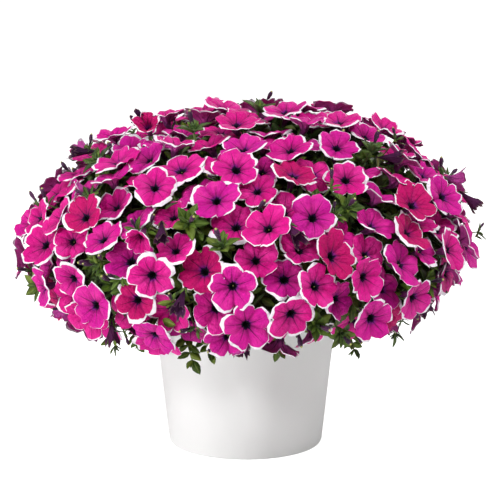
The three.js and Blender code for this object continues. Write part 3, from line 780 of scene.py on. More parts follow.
# %% Petal material
petal, tree, surface = new_material(
    "petal", 0.52, Specular_IOR_Level=0.16, Sheen_Weight=0.03, Sheen_Roughness=0.45,
)
disc = carried(tree, "disc")
hue, edge, _ = parts_of(carried(tree, "own"))
x, y, face = parts_of(disc)
seed = hue * 31.0 + edge * 17.0
marks = use_group(tree, ribs, Disc=disc, Seed=seed, Width=0.034)
# The mottle gives random lighter patches, which are partly the petal's own uneven tone and partly painted
# highlights, and the grain of the bump.
highlights_and_grain = use_group(tree, mottle, Place=disc, Scale=1.6, Seed=seed)
out, way = marks["Distance"], vectors("NORMALIZE", vector_of(x, y, 0.0))
halo = out + cloud(way, 2.4, 0.0, seed) * 0.2 - marks["Ribs"] * 0.06
glow = eased(out, 0.32, 0.2) * eased(cloud(way, 0.7, 0.0, seed + 7.0), 0.0, 0.16)
throat = out - marks["Ribs"] * 0.05 + cloud(way, 3.0, 1.0, seed) * 0.12
magenta = layered(
    mixed(eased(hue, 0.1, 0.9), paint(214, 4, 130), paint(200, 10, 146)),
    # Painted highlights: lighter pink patches laid at random over the face, partly the petal's own uneven
    # tone.
    (eased(highlights_and_grain["Patches"], 0.38, 0.72) * 0.7, paint(234, 54, 160)),
    (eased(hue, 0.91, 0.95), paint(192, 0, 100)),
    # Painted shade: darker magenta in the creases between the lobes.
    (marks["FoldShade"] * 0.55, paint(132, 4, 90)),
    (marks["Veins"] * 0.34, paint(112, 4, 78)),
    (marks["Ribs"] * 0.8, paint(78, 4, 56)),
    (eased(halo, 0.5, 0.2) * 0.5, paint(112, 6, 84)),
    (glow * 0.5, paint(96, 30, 150)),
    (eased(throat, 0.22, 0.16), paint(36, 8, 56)),
    (eased(out, 0.17, 0.12), paint(10, 3, 16)),
)
lobe_width = cloud(way, 1.15, 0.0, seed + 3.0) * 6.0 + cloud(way, 3.0, 0.0, seed) * 2.0
width = (edge * 0.09 + 0.03) * (1.0 + lobe_width)
width = formula("SMOOTH_MIN", width, 0.155, 0.06)
ragged = cloud(way, 8.0, 2.0, seed) * 0.05
white_edge = eased(out - 1.0 + width + ragged, -0.01, 0.016) * eased(width, -0.01, 0.02)
lilac = layered(
    mixed(marks["Ribs"], paint(196, 72, 160), paint(112, 20, 96)),
    (marks["Veins"] * 0.5, paint(140, 40, 116)), (white_edge * 0.9, paint(238, 222, 238)),
)
front = mixed(white_edge, magenta, paint(246, 238, 247))
tube = mixed(marks["Veins"] * 0.8, paint(124, 44, 108), paint(46, 12, 52))
behind = mixed(eased(face, -1.0, -1.35), lilac, tube)
plug(mixed(eased(face, -0.2, 0.2), behind, front), surface.inputs["Base Color"])
height = marks["Ribs"] * -0.6 + marks["Veins"] * -0.3 + highlights_and_grain["Grain"] * 0.15
bumped(surface, height + cloud(disc, 7.5, 3.0, seed) * 2.4, 0.8, 0.002)
print("petal material:", len(tree.nodes), "nodes")

# %% [markdown]
# ## Helpers for meshes and node trees
# A grower here is a Geometry Nodes tree that takes a few bare points, each carrying its own
# marks, and turns them into flowers, leaves or stalks. The result is kept as a plain mesh. Every
# small shape also has a map for baking its colours; the repeats in one piece get a cell each.

# %% Meshes, and the marks and maps that they carry
scene = bpy.context.scene
helpers = []


def add_object(name, data):
    piece = bpy.data.objects.new(name, data)
    scene.collection.objects.link(piece)
    return piece


def new_mesh(name, points, faces=(), edges=()):
    """A mesh from points in millimetres."""
    mesh = bpy.data.meshes.new(name)
    mesh.from_pydata((np.asarray(points, float) * MM).tolist(), list(edges), list(faces))
    mesh.shade_smooth()
    return mesh


def mark(mesh, **marks):
    """Stores numbers or vectors at the points of a mesh."""
    for name, values in marks.items():
        values = np.asarray(values, np.float32)
        vector = values.ndim == 2
        stored = mesh.attributes.new(name, "FLOAT_VECTOR" if vector else "FLOAT", "POINT")
        stored.data.foreach_set("vector" if vector else "value", values.ravel())


def map_flat(mesh, spot_of):
    """Gives a small shape its map for baking, from a rule for a point of a face."""
    layer = mesh.uv_layers.new(name="OFBake")
    for face in mesh.polygons:
        for loop in face.loop_indices:
            layer.uv[loop].vector = spot_of(face, mesh.loops[loop].vertex_index)


# %% Growers
def new_kinds(name, *shapes):
    """A collection of plain shapes for a grower to pick from, in the order of their names."""
    kinds = bpy.data.collections.new(name)
    scene.collection.children.link(kinds)
    for shape in shapes:
        kinds.objects.link(shape)
        helpers.append(shape)
    return kinds


def new_grower(name, *inputs):
    """A Geometry Nodes tree that takes points or a surface and gives shapes."""
    geometry = ("Geometry", "Geometry")
    tree, given, end = new_tree("Geometry", name, [geometry, *inputs], [geometry])
    tree.is_modifier = True
    return tree, given, end


def read_mark(tree, name, kind="FLOAT_VECTOR"):
    node = new_node(tree, "GeometryNodeInputNamedAttribute", name, modes={"data_type": kind})
    return Field(node.outputs["Attribute"])


def step(kind, geometry, **values):
    """Adds a geometry node after another, and gives its first output."""
    return Field(new_node(tree_of(geometry), "GeometryNode" + kind, geometry, **values).outputs[0])


def shape_of(thing):
    """The shape of an object that was given to a grower."""
    return Field(new_node(tree_of(thing), "GeometryNodeObjectInfo", thing).outputs["Geometry"])


def end_grower(shapes, given, end):
    """Makes the shapes real, gives them the grower's material and sends them out."""
    real = step("RealizeInstances", shapes)
    plug(step("SetMaterial", real, Material=given["Material"]), end.inputs["Geometry"])


def plain_mesh(piece):
    """The mesh of an object with its modifiers carried out. The object itself is removed."""
    graph = bpy.context.evaluated_depsgraph_get()
    made = bpy.data.meshes.new_from_object(piece.evaluated_get(graph), depsgraph=graph)
    bpy.data.objects.remove(piece)
    return made


def grown(tree, mesh, name, **settings):
    """Runs a grower on a mesh of points and returns the plain mesh that it makes."""
    seedbed = add_object("seedbed", mesh)
    modifier = seedbed.modifiers.new("grower", "NODES")
    modifier.node_group = tree
    for item in tree.interface.items_tree:
        if item.in_out == "INPUT" and item.name in settings:
            modifier[item.identifier] = settings[item.name]
    made = plain_mesh(seedbed)
    made.name = name
    return made


# %% Finished pieces
def triangles_of(mesh):
    return sum(len(face.vertices) - 2 for face in mesh.polygons)


def bake_cells(mesh, repeats, aspect):
    """Moves the baking map of each repeat into a cell of its own. A cell is aspect wide, 1 high."""
    layer = mesh.uv_layers["OFBake"]
    spots = np.zeros(len(mesh.loops) * 2, np.float32)
    layer.uv.foreach_get("vector", spots)
    spots = spots.reshape(repeats, -1, 2)
    columns = max(1, round(math.sqrt(repeats / aspect)))
    rows = math.ceil(repeats / columns)
    size = min(1 / (columns * aspect), 1 / rows)
    cell = np.arange(repeats)
    corner = np.stack([cell % columns * aspect * size, cell // columns * size], axis=1)
    spots = corner[:, None, :] + (0.02 + 0.96 * spots) * size
    layer.uv.foreach_set("vector", spots.astype(np.float32).ravel())


def finish_piece(name, mesh, nodes=()):
    """Makes a mesh a piece of the plant, and gives the number of its triangles."""
    piece = add_object(name, mesh)
    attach(piece, "root")
    if nodes:
        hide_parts(*nodes)
    return triangles_of(mesh)


def grow_piece(name, slot, nodes, grower, seedlings, cells=0, aspect=1.0, **settings):
    """Grows a piece of the plant, and gives the number of its triangles."""
    mesh = grown(grower, seedlings, name, **settings)
    if cells:
        bake_cells(mesh, cells, aspect)
    return finish_piece(name, mesh, nodes)


# %% [markdown]
# ## Corollas
# A corolla is one closed skin: down the throat, out over the face, round the rim and back down
# the outside of the tube. Its plain form is made once, as rings of 40 points with five notches.
# The grower then sets it on each flower's centre and bends it there, with slow waves that make
# each lobe different and fast ones that ruffle the rim, so no two flowers are alike.

# %% The plain corolla: rings from the throat over the rim to the end of the tube
LOBE_STEPS = (0.0, 0.045, 0.15, 0.31, 0.5, 0.69, 0.85, 0.955)
LOBE_REACH = (0.75, 0.86, 0.965, 1.025, 1.005, 1.03, 0.955, 0.845)
# each ring: distance out, rise, which face (1 front, -1 back, -2 tube), way down the tube, map radius
RINGS = (
    (0.0, -19.0, 1, 0, 0.0), (0.075, -16.0, 1, 0, 0.08), (0.125, -12.0, 1, 0, 0.14),
    (0.17, -9.3, 1, 0, 0.2), (0.25, -7.4, 1, 0, 0.28), (0.37, -5.3, 1, 0, 0.4),
    (0.52, -3.5, 1, 0, 0.54), (0.68, -2.0, 1, 0, 0.69), (0.84, -0.9, 1, 0, 0.84),
    (0.94, -0.8, 1, 0, 0.94), (1.0, -1.8, 1, 0, 1.0),
    (0.93, -1.9, -1, 0, 0.93), (0.7, -2.7, -1, 0, 0.74), (0.4, -6.0, -1, 0, 0.56),
    (0.22, -10.5, -1, 0, 0.42), (0.155, -17.0, -1.5, 0, 0.3), (0.115, -18.0, -1.8, 7, 0.18),
    (0.085, -18.0, -2, 14, 0.08), (0.0, -18.0, -2, 14.5, 0.0),
)
RIM, LOBES = 10, 5
print("a corolla has", len(RINGS), "rings")


# %% Building a corolla from its rings
def plain_corolla(name, rings, rim):
    count = LOBES * len(LOBE_STEPS)
    turns = [2 * math.pi * (lobe + part) / LOBES for lobe in range(LOBES) for part in LOBE_STEPS]
    lobes = LOBE_REACH * LOBES
    rows, start = [], 0
    marks = {"disc": [], "turn": [], "out": [], "rise": [], "lobe": [], "drop": []}
    spots = []
    for number, (out, rise, face, drop, radius) in enumerate(rings):
        ring = [0] if number in (0, len(rings) - 1) else range(count)
        rows.append([start + k for k in ring])
        start += len(ring)
        for k in ring:
            cosine, sine = math.cos(turns[k]), math.sin(turns[k])
            marks["disc"].append((out * cosine, out * sine, face))
            for label, value in (("turn", turns[k]), ("out", out), ("rise", rise),
                                 ("lobe", lobes[k]), ("drop", drop)):
                marks[label].append(value)
            spots.append((0.5 + 0.49 * radius * cosine, 0.5 + 0.49 * radius * sine))
    faces = []
    for above, below in zip(rows, rows[1:]):
        for k in range(count):
            after = (k + 1) % count
            if len(above) == 1:
                faces.append((above[0], below[k], below[after]))
            elif len(below) == 1:
                faces.append((above[k], below[0], above[after]))
            else:
                faces.append((above[k], below[k], below[after], above[after]))
    mesh = new_mesh(name, np.zeros((start, 3)), faces)
    mark(mesh, **marks)
    last_front = rows[rim][-1]
    map_flat(mesh, lambda face, point: (
        spots[point][0] + (max(face.vertices) > last_front), spots[point][1],
    ))
    sharp = mesh.attributes.new("sharp_edge", "BOOLEAN", "EDGE")
    rim_points = set(rows[rim])
    for edge in mesh.edges:
        sharp.data[edge.index].value = set(edge.vertices) <= rim_points
    return mesh


corolla = add_object("plain_corolla", plain_corolla("plain_corolla", RINGS, RIM))
helpers.append(corolla)
print("plain corolla:", triangles_of(corolla.data), "triangles")

# %% The grower that bends a corolla to each flower
corollas, given, end = new_grower(
    "corollas", ("Corolla", "Object"), ("Wave", "Float"), ("Ruffle", "Float"), ("Material", "Material"),
)
real = step("InstanceOnPoints", given["Geometry"], Instance=shape_of(given["Corolla"]))
real = step("RealizeInstances", real)
turn, out, rise, lobe, drop, reach, spin, cup, droop = (
    read_mark(corollas, name, "FLOAT")
    for name in ("turn", "out", "rise", "lobe", "drop", "reach", "spin", "cup", "droop")
)
seed = parts_of(read_mark(corollas, "own"))[0] * 61.0
circle = vector_of(formula("COSINE", turn), formula("SINE", turn), 0.0)
slow = cloud(circle, 0.95, 0.0, seed)
fast = cloud(circle, 3.4, 0.0, seed + 5.0)
fine = cloud(circle, 9.0, 0.0, seed + 9.0)
aside = cloud(circle, 0.8, 0.0, seed + 13.0)
lobed = cloud(circle, 1.9, 0.0, seed + 33.0)
edge = out ** 2.6
oval = formula("COSINE", turn * 2.0 + seed) * 0.05
spread = 1.0 + (lobe - 1.0) * edge + edge * (aside * 0.42 + lobed * 0.22 + fine * 0.24) + oval
radius = reach * out * spread
height = rise + edge * (slow * given["Wave"] + fast * given["Ruffle"] + fine * 3.0) + cup * out * out
height = height - (1.0 - lobe) * edge * 8.0
pleat = formula("COSINE", turn * 10.0) * -0.5 - formula("COSINE", turn * 5.0) * 0.5
height = height + pleat * (out * (1.25 - out)) * 4.6
lean = formula("MAXIMUM", formula("COSINE", turn + seed * 1.7), 0.0)
height = height - droop * lean * lean * out * out
angle = turn + spin + edge * cloud(circle, 1.1, 0.0, seed + 21.0) * 0.3
place = read_mark(corollas, "centre")
for vector, length in (
    ("side", formula("COSINE", angle) * radius),
    ("other", formula("SINE", angle) * radius),
    ("axis", height),
    ("way", drop),
):
    place = vectors("ADD", place, vectors("SCALE", read_mark(corollas, vector), Scale=length))
bent = step("SetPosition", real, Position=vectors("SCALE", place, Scale=MM))
end_grower(bent, given, end)
print("corolla grower:", len(corollas.nodes), "nodes")

# %% Each spray's flowers, as one piece in place of its plain solid
PETAL_GROWTH = 1.03
rng = np.random.default_rng(20)
for flower in flowers:
    flower.own = rng.random(3)
    flower.cup, flower.droop = rng.normal(0.6, 2.2), min(7, abs(rng.normal(0, 3.4)))


def flower_points(name, group):
    """One point for each flower, with all that the grower needs to know of it."""
    mesh = new_mesh(name, [f.head.centre for f in group])
    mark(
        mesh,
        centre=[f.head.centre for f in group], side=[f.head.side for f in group],
        other=[f.head.other for f in group], axis=[f.head.axis for f in group],
        way=[unit(f.root - f.neck) for f in group], own=[f.own for f in group],
        reach=[f.head.radius * PETAL_GROWTH for f in group], spin=[f.head.spin for f in group],
        cup=[f.cup for f in group], droop=[f.droop for f in group],
    )
    return mesh


petal_triangles = 0
for spray in sprays:
    petal_triangles += grow_piece(
        "petals_" + spray.node[-2:], "petals", [spray.node], corollas,
        flower_points("spray_points", spray.flowers), cells=len(spray.flowers), aspect=2.0,
        Corolla=corolla, Wave=13.0, Ruffle=9.0, Material=petal,
    )
print("petals:", petal_triangles, "triangles in", len(sprays), "sprays")

# %% [markdown]
# ## Leaves
# Petunia leaves are small, soft and egg-shaped, with one sunken midrib; near the tips of the
# shoots they are narrow and stand close together, and each flower sits in five narrow sepals of
# the same kind. A leaf is repeated thousands of times, so it has only 32 triangles: a folded
# upper side and a flatter lower side that meet along a thin edge.

# %% Leaf material
leaf_green, tree, surface = new_material(
    "leaf", 0.5, Specular_IOR_Level=0.3, Sheen_Weight=0.06, Sheen_Roughness=0.4,
)
blade = carried(tree, "blade")
tone, warmth, _ = parts_of(carried(tree, "own"))
lines = use_group(tree, blade_veins, Blade=blade, Pairs=6.0)
spots = mottled(tree, 90.0)
green = layered(
    mixed(tone, paint(44, 68, 14), paint(102, 134, 38)),
    (eased(warmth, 0.72, 1.0) * 0.6, paint(126, 140, 44)),
    (eased(spots["Patches"], 0.4, 0.75) * 0.3, paint(56, 84, 18)),
    (lines["Veins"] * 0.3, paint(112, 136, 54)),
    (lines["Midrib"] * 0.55, paint(134, 152, 72)),
)
under = mixed(lines["Midrib"] * 0.5, paint(86, 112, 60), paint(120, 142, 88))
side = parts_of(blade)[2]
plug(mixed(eased(side, -0.05, 0.05), under, green), surface.inputs["Base Color"])
height = lines["Veins"] * -0.5 + lines["Midrib"] * -1.0 + spots["Grain"] * 0.3
bumped(surface, height, 0.5, 0.0005)
print("leaf material:", len(tree.nodes), "nodes")

# %% Plain leaves: broad, flat, curled and narrow, and a sepal
STATIONS = (0.1, 0.32, 0.58, 0.83)


def plain_leaf(name, widths, fold, curl, sway):
    """A leaf 1 mm long along +Y with its upper side to +Z. Widths are half-widths."""
    def bend(x, y, z):
        return (x + sway * y * y, y, z - curl * y * y + fold * abs(x))

    points = [bend(0, 0, 0)]
    blade = [(0.0, 0.0, 0.0)]
    for y, width in zip(STATIONS, widths):
        thick = 0.035 if width > 0.05 else 0.05
        points += [bend(-width, y, 0), bend(0, y, 0), bend(width, y, 0), bend(0, y, -thick)]
        blade += [(-1.0, y, 0.0), (0.0, y, 1.0), (1.0, y, 0.0), (0.0, y, -1.0)]
    points.append(bend(0, 1, 0))
    blade.append((0.0, 1.0, 0.0))
    tip = len(points) - 1
    upper, lower = [(0, 3, 2), (0, 2, 1)], [(0, 1, 4), (0, 4, 3)]
    for k in range(len(STATIONS) - 1):
        left, middle, right, below = (1 + 4 * k + j for j in range(4))
        upper += [(middle, middle + 4, left + 4, left), (middle, right, right + 4, middle + 4)]
        lower += [(below, left, left + 4, below + 4), (below, below + 4, right + 4, right)]
    left, middle, right, below = (tip - 4 + j for j in range(4))
    upper += [(tip, left, middle), (tip, middle, right)]
    lower += [(tip, below, left), (tip, right, below)]
    mesh = new_mesh(name, points, upper + lower)
    mark(mesh, blade=blade)
    map_flat(mesh, lambda face, point: (
        (0.25 if face.index < len(upper) else 0.75) + 0.24 * blade[point][0], blade[point][1],
    ))
    return mesh


LEAF_KINDS = (
    ("a_broad", (0.11, 0.25, 0.27, 0.15), 0.35, 0.12, 0.04),
    ("b_curled", (0.1, 0.22, 0.24, 0.13), 0.5, 0.34, -0.06),
    ("c_flat", (0.12, 0.27, 0.25, 0.12), 0.2, -0.06, 0.02),
    ("d_narrow", (0.07, 0.14, 0.16, 0.1), 0.45, 0.16, 0.05),
    ("e_sepal", (0.09, 0.085, 0.1, 0.07), 0.3, -0.14, 0.0),
)
BROAD_KINDS, NARROW, SEPAL = 3, 3, 4
leaf_kinds = new_kinds("leaf_kinds", *(
    bpy.data.objects.new(name, plain_leaf(name, *form)) for name, *form in LEAF_KINDS
))

# %% The grower that sets a small shape on each point
settled, given, end = new_grower("settled_shapes", ("Kinds", "Collection"), ("Material", "Material"))
kinds = new_node(settled, "GeometryNodeCollectionInfo", given["Kinds"], Separate_Children=True)
turned = new_node(
    settled, "FunctionNodeAxesToRotation", read_mark(settled, "along"), read_mark(settled, "face"),
    modes={"primary_axis": "Y", "secondary_axis": "Z"},
)
size = read_mark(settled, "size", "FLOAT")
set_out = step(
    "InstanceOnPoints", given["Geometry"], Instance=Field(kinds.outputs[0]), Pick_Instance=True,
    Instance_Index=read_mark(settled, "kind", "FLOAT"), Rotation=Field(turned.outputs[0]),
    Scale=vector_of(size, size, size),
)
end_grower(set_out, given, end)
print("settling grower:", len(settled.nodes), "nodes")


# %% Where leaves go: a list that keeps each leaf clear of the petals
LEAF_NEARBY = 30


class Blades:
    """Leaves waiting to be grown: base, direction, upper side, length and kind of each."""

    def __init__(self):
        self.base, self.along, self.face, self.size, self.kind = [], [], [], [], []

    def add(self, base, along, face, size, kind):
        along = unit(along)
        face = unit(face - along * (face @ along))
        for pile, value in zip(
            (self.base, self.along, self.face, self.size, self.kind),
            (base, along, face, size, kind),
        ):
            pile.append(value)

    def clear_of_flowers(self, gap=0.8):
        """Leaves out every leaf that would touch or pierce a corolla."""
        base, along, face = (np.array(pile) for pile in (self.base, self.along, self.face))
        size = np.array(self.size)[:, None]
        across = np.cross(along, face)
        spots = [base, base + along * size, base + along * size * 0.5, base + along * size * 0.78]
        spots += [spots[2] + across * size * 0.22, spots[2] - across * size * 0.22]
        spots = np.stack(spots, axis=1)
        good = np.ones(len(base), bool)
        for flower in flowers:
            head = flower.head
            near = np.linalg.norm(spots[:, 2] - head.centre, axis=1) < head.radius + LEAF_NEARBY
            near = np.flatnonzero(near & good)
            side = side_of(head, spots[near].reshape(-1, 3), gap).reshape(len(near), 6)
            crossed = (side == TOUCHING).any(axis=1)
            crossed |= (side == 1).any(axis=1) & (side == -1).any(axis=1)
            good[near[crossed]] = False
        for name in ("base", "along", "face", "size", "kind"):
            setattr(self, name, [v for v, keep in zip(getattr(self, name), good) if keep])

    def points(self, name):
        mesh = new_mesh(name, self.base)
        count = len(self.base)
        mark(mesh, along=self.along, face=self.face, size=self.size, kind=self.kind,
             own=rng.random((count, 3)))
        return mesh


def around_axis(head, angle):
    return head.side * math.cos(angle) + head.other * math.sin(angle)


# %% Rosettes of leaves at the tips of the shoots, and pairs of leaves down their stalks
rosettes, stalk_leaves = Blades(), Blades()
for shoot in shoots + low_shoots:
    head = shoot.head
    heart = in_world(head, 0, 0, -head.funnel)
    for k in range(5):
        point = 3 * k + 1
        angle, reach = head.angle[point], head.reach[point] * 0.98
        tip = in_world(head, reach * math.cos(angle), reach * math.sin(angle), head.lift[point])
        rosettes.add(heart, tip - heart, head.axis, np.linalg.norm(tip - heart), rng.integers(BROAD_KINDS))
        inner = around_axis(head, angle + 0.63)
        way = inner * 0.75 + head.axis * (0.7 + 0.3 * rng.random())
        rosettes.add(heart + head.axis * 1.5, way, head.axis, 15 + 5 * rng.random(), NARROW)
        core_way = around_axis(head, angle + 1.9) * 0.4 + head.axis
        rosettes.add(heart + head.axis * 3, core_way, head.axis - inner, 9 + 4 * rng.random(), NARROW)
    for drop in (7, 15, 24, 33):
        spot = heart + (shoot.neck - heart) * min(drop / 3, 1)
        spot = spot + unit(shoot.root - shoot.neck) * drop
        turn = rng.random() * FULL_TURN
        for half in (0, math.pi):
            way = around_axis(head, turn + half) + head.axis * 0.45
            stalk_leaves.add(spot, way, head.axis, 19 + 8 * rng.random(), rng.integers(BROAD_KINDS))
stalk_leaves.clear_of_flowers(3.5)
print(len(rosettes.base), "rosette leaves and", len(stalk_leaves.base), "stalk leaves")

# %% Leaves that fill the depth between the flowers
filling = Blades()
FILL_TRIES, FILL_DEPTH, FILL_DEPTH_SPREAD, FILL_SIZE, FILL_SIZE_SPREAD = 6000, 17, 47, 17, 15
steps = np.arange(AREA_STEPS + 1) * MOUND_LAST_ANGLE / AREA_STEPS
shares = (np.arange(FILL_TRIES) + 0.5) / FILL_TRIES
fill_degrees = np.interp(shares * area_up_to[-1], area_up_to, steps)
for k in range(FILL_TRIES):
    place = place_on(fill_degrees[k], k * GOLDEN_ANGLE + 0.7)
    depth = FILL_DEPTH + FILL_DEPTH_SPREAD * rng.random() ** 0.8
    size = FILL_SIZE + FILL_SIZE_SPREAD * rng.random()
    face = unit(place.outward + 0.55 * rng.normal(size=3) + 0.25 * UP)
    along = place.down * rng.normal(0.25, 0.6) + place.around * rng.normal(0, 0.6)
    along = unit(along + 0.5 * place.outward)
    middle = place.centre - place.outward * depth
    filling.add(middle - along * size * 0.5, along, face, size, rng.integers(BROAD_KINDS))
filling.clear_of_flowers(4.5)
print(len(filling.base), "leaves in the depth")

# %% [markdown]
# ## Stalks and stems
# Every flower stands on a thin hairy stalk, and the stalks of a spray meet on one stem. Each is a
# path with a thickness at each point. Geometry Nodes sweep a small ring along all the paths at
# once, which keeps them round where they bend.

# %% The grower that sweeps a ring along paths
swept, given, end = new_grower("swept_stalks", ("Sides", "Int"), ("Material", "Material"))
ring = new_node(swept, "GeometryNodeCurvePrimitiveCircle", given["Sides"], Radius=MM)
tube = step(
    "CurveToMesh", step("MeshToCurve", given["Geometry"]), Profile_Curve=Field(ring.outputs["Curve"]),
    Scale=read_mark(swept, "thick", "FLOAT"), Fill_Caps=True,
)
end_grower(step("SetShadeSmooth", tube), given, end)


class Paths:
    """Paths waiting to be swept, with a thickness in millimetres at each point."""

    def __init__(self):
        self.points, self.edges, self.thick, self.own = [], [], [], []

    def add(self, points, thick):
        first = len(self.points)
        count = len(points)
        self.points += list(points)
        self.edges += [(first + k, first + k + 1) for k in range(count - 1)]
        self.thick += list(np.interp(np.linspace(0, 1, count), np.linspace(0, 1, len(thick)), thick))
        self.own += [rng.random(3)] * count

    def mesh(self, name):
        mesh = new_mesh(name, self.points, edges=self.edges)
        mark(mesh, thick=self.thick, own=self.own)
        return mesh


def bowed(start, end, bow=0 * UP, count=6):
    """A path from start to end that bends aside by the vector bow in the middle."""
    share = np.linspace(0, 1, count)[:, None]
    return start + (end - start) * share + bow * np.sin(math.pi * share)


# %% Stalk material
stalk_green, tree, surface = new_material("stalk", 0.55, Sheen_Weight=0.25, Sheen_Roughness=0.5)
tone = own_tone(tree)
spots = mottled(tree, 70.0)
green = mixed(tone, paint(84, 112, 46), paint(116, 138, 66))
green = mixed(eased(spots["Patches"], 0.5, 0.8) * 0.5, green, paint(92, 66, 62))
plug(green, surface.inputs["Base Color"])
bumped(surface, spots["Grain"], 0.4, 0.0004)
print("stalk material:", len(tree.nodes), "nodes")

# %% Stalks, shoots and main stems
stalks, sepals = Paths(), Blades()
TUBE_END, STEM_CIRCLE = 13, 88


def five_round(way, side):
    """Five slightly uneven directions round a way, as sepals stand."""
    aside = unit(side - way * (side @ way))
    third = np.cross(way, aside)
    for k in range(5):
        angle = FIFTH_TURN * k + rng.normal(0, 0.15)
        yield aside * math.cos(angle) + third * math.sin(angle)


def add_calyx(spot, way, side):
    """Five sepals round the end of a tube; way points down the stalk."""
    for spread in five_round(way, side):
        sepals.add(spot + spread * 1.4 + way, spread * rng.uniform(0.3, 0.7) - way, spread,
                   rng.uniform(10, 15), SEPAL)


for flower in flowers:
    way = unit(flower.root - flower.neck)
    calyx = flower.neck + way * TUBE_END
    bow = np.cross(way, flower.head.side) * rng.normal(0, 1.6)
    foot = flower.spray.foot - flower.spray.normal * 3
    path = [*bowed(calyx, flower.root, bow), (flower.root + foot) / 2, foot]
    stalks.add(path, (2.4, 1.15, 1.1, 1.1, 1.2, 1.3))
    add_calyx(calyx, way, flower.head.side)
for spray in sprays:
    stalks.add(bowed(spray.foot - spray.normal * 14, spray.foot, count=3), (3.2, 2.6, 2.8))
for shoot in shoots + low_shoots:
    heart = in_world(shoot.head, 0, 0, -shoot.head.funnel)
    root = shoot.root - shoot.place.outward * 5
    stalks.add([heart + shoot.head.axis * 2, heart, shoot.neck, *bowed(shoot.neck, root, count=5)[1:]],
               (0.8, 1.5, 1.8, 2.0, 2.0))
for k in range(STEM_COUNT):
    radius, angle = STEM_CIRCLE * math.sqrt((k + 0.6) / STEM_COUNT), k * GOLDEN_ANGLE
    spot = np.array([radius * math.cos(angle), radius * math.sin(angle), 0])
    foot = SOIL_TOP - STEM_HOLE_DEPTH + 0.3
    stalks.add([spot + UP * z for z in (foot, 196, 206, 216, 236)], (4.4, 4.3, 4.0, 3.9, 4.4))
print(len(sepals.base), "sepals")

# %% [markdown]
# ## Buds and trailing shoots
# A petunia bud is a slender dark purple spindle, furrowed and twisted like a rolled umbrella, with
# a yellow-green tip, and it stands out past the open flowers. A few leafy stems have grown out
# past the rim and hang in front of the pot.

# %% Bud material
bud_purple, tree, surface = new_material("bud", 0.55, Specular_IOR_Level=0.3, Sheen_Weight=0.08)
_, along, _ = parts_of(carried(tree, "blade"))
tone = own_tone(tree)
spots = mottled(tree, 300.0)
purple = mixed(tone, paint(46, 18, 50), paint(80, 28, 76))
purple = mixed(eased(spots["Patches"], 0.4, 0.7) * 0.5, purple, paint(28, 10, 32))
purple = mixed(eased(along, 0.3, 0.08), purple, paint(96, 112, 52))
purple = mixed(eased(along, 0.9, 0.97), purple, paint(190, 190, 110))
plug(purple, surface.inputs["Base Color"])
bumped(surface, spots["Grain"], 0.3, 0.0003)
print("bud material:", len(tree.nodes), "nodes")

# %% Plain bud: rings of distance along it and radius
BUD_RINGS = ((0.0, 0.03), (0.25, 0.045), (0.5, 0.07), (0.7, 0.105), (0.84, 0.09), (0.95, 0.045))


def plain_bud(name, sides=10):
    """A bud 1 mm long along +Y, with five furrows that turn round it."""
    points, blade, spots = [], [], []
    for y, radius in BUD_RINGS:
        for k in range(sides):
            angle = 2 * math.pi * k / sides + 1.6 * y
            reach = radius * (1.0 + (0.16 if k % 2 else -0.16) * min(1, 3 * y))
            points.append((reach * math.cos(angle), y, reach * math.sin(angle)))
            blade.append((k / sides, y, 1.0))
            inwards = 0.49 - 0.4 * y
            spots.append((0.5 + inwards * math.cos(angle), 0.5 + inwards * math.sin(angle)))
    points += [(0, 1, 0), (0, -0.01, 0)]
    blade += [(0, 1, 1), (0, 0, 1)]
    spots += [(0.5, 0.5), (0.5, 0.5)]
    tip, heel = len(points) - 2, len(points) - 1
    faces = []
    for ring in range(len(BUD_RINGS) - 1):
        for k in range(sides):
            here, after = ring * sides + k, ring * sides + (k + 1) % sides
            faces.append((here, here + sides, after + sides, after))
    last = (len(BUD_RINGS) - 1) * sides
    faces += [(last + k, tip, last + (k + 1) % sides) for k in range(sides)]
    faces += [(heel, k, (k + 1) % sides) for k in range(sides)]
    mesh = new_mesh(name, points, faces)
    mark(mesh, blade=blade)
    map_flat(mesh, lambda face, point: spots[point])
    return mesh


bud_kinds = new_kinds("bud_kinds", bpy.data.objects.new("plain_bud", plain_bud("plain_bud")))

# %% Buds on the shoots
buds = Blades()


def add_bud(base, tip, side):
    """A bud with its five sepals."""
    way = unit(tip - base)
    size = np.linalg.norm(tip - base)
    buds.add(base, way, side, size, 0)
    for spread in five_round(way, side):
        sepals.add(base + spread * 0.8, spread * rng.uniform(0.2, 0.45) + way, -spread,
                   size * rng.uniform(0.38, 0.5), SEPAL)


for shoot in shoots:
    if shoot.bud:
        x, y, length = shoot.bud
        base = in_world(shoot.head, x * 0.15, y * 0.15, 3 - shoot.head.funnel)
        add_bud(base, in_world(shoot.head, x, y, length - shoot.head.funnel), shoot.head.side)
print(len(buds.base), "buds on the shoots")


def clear_of_heads(chain, gap):
    """True when a chain of points touches no flower and no rosette."""
    near = np.linalg.norm(bed.centres[:, None] - chain, axis=2).min(axis=1) < 45
    return all(TOUCHING not in side_of(bed.plants[k].head, chain, gap) for k in np.flatnonzero(near))


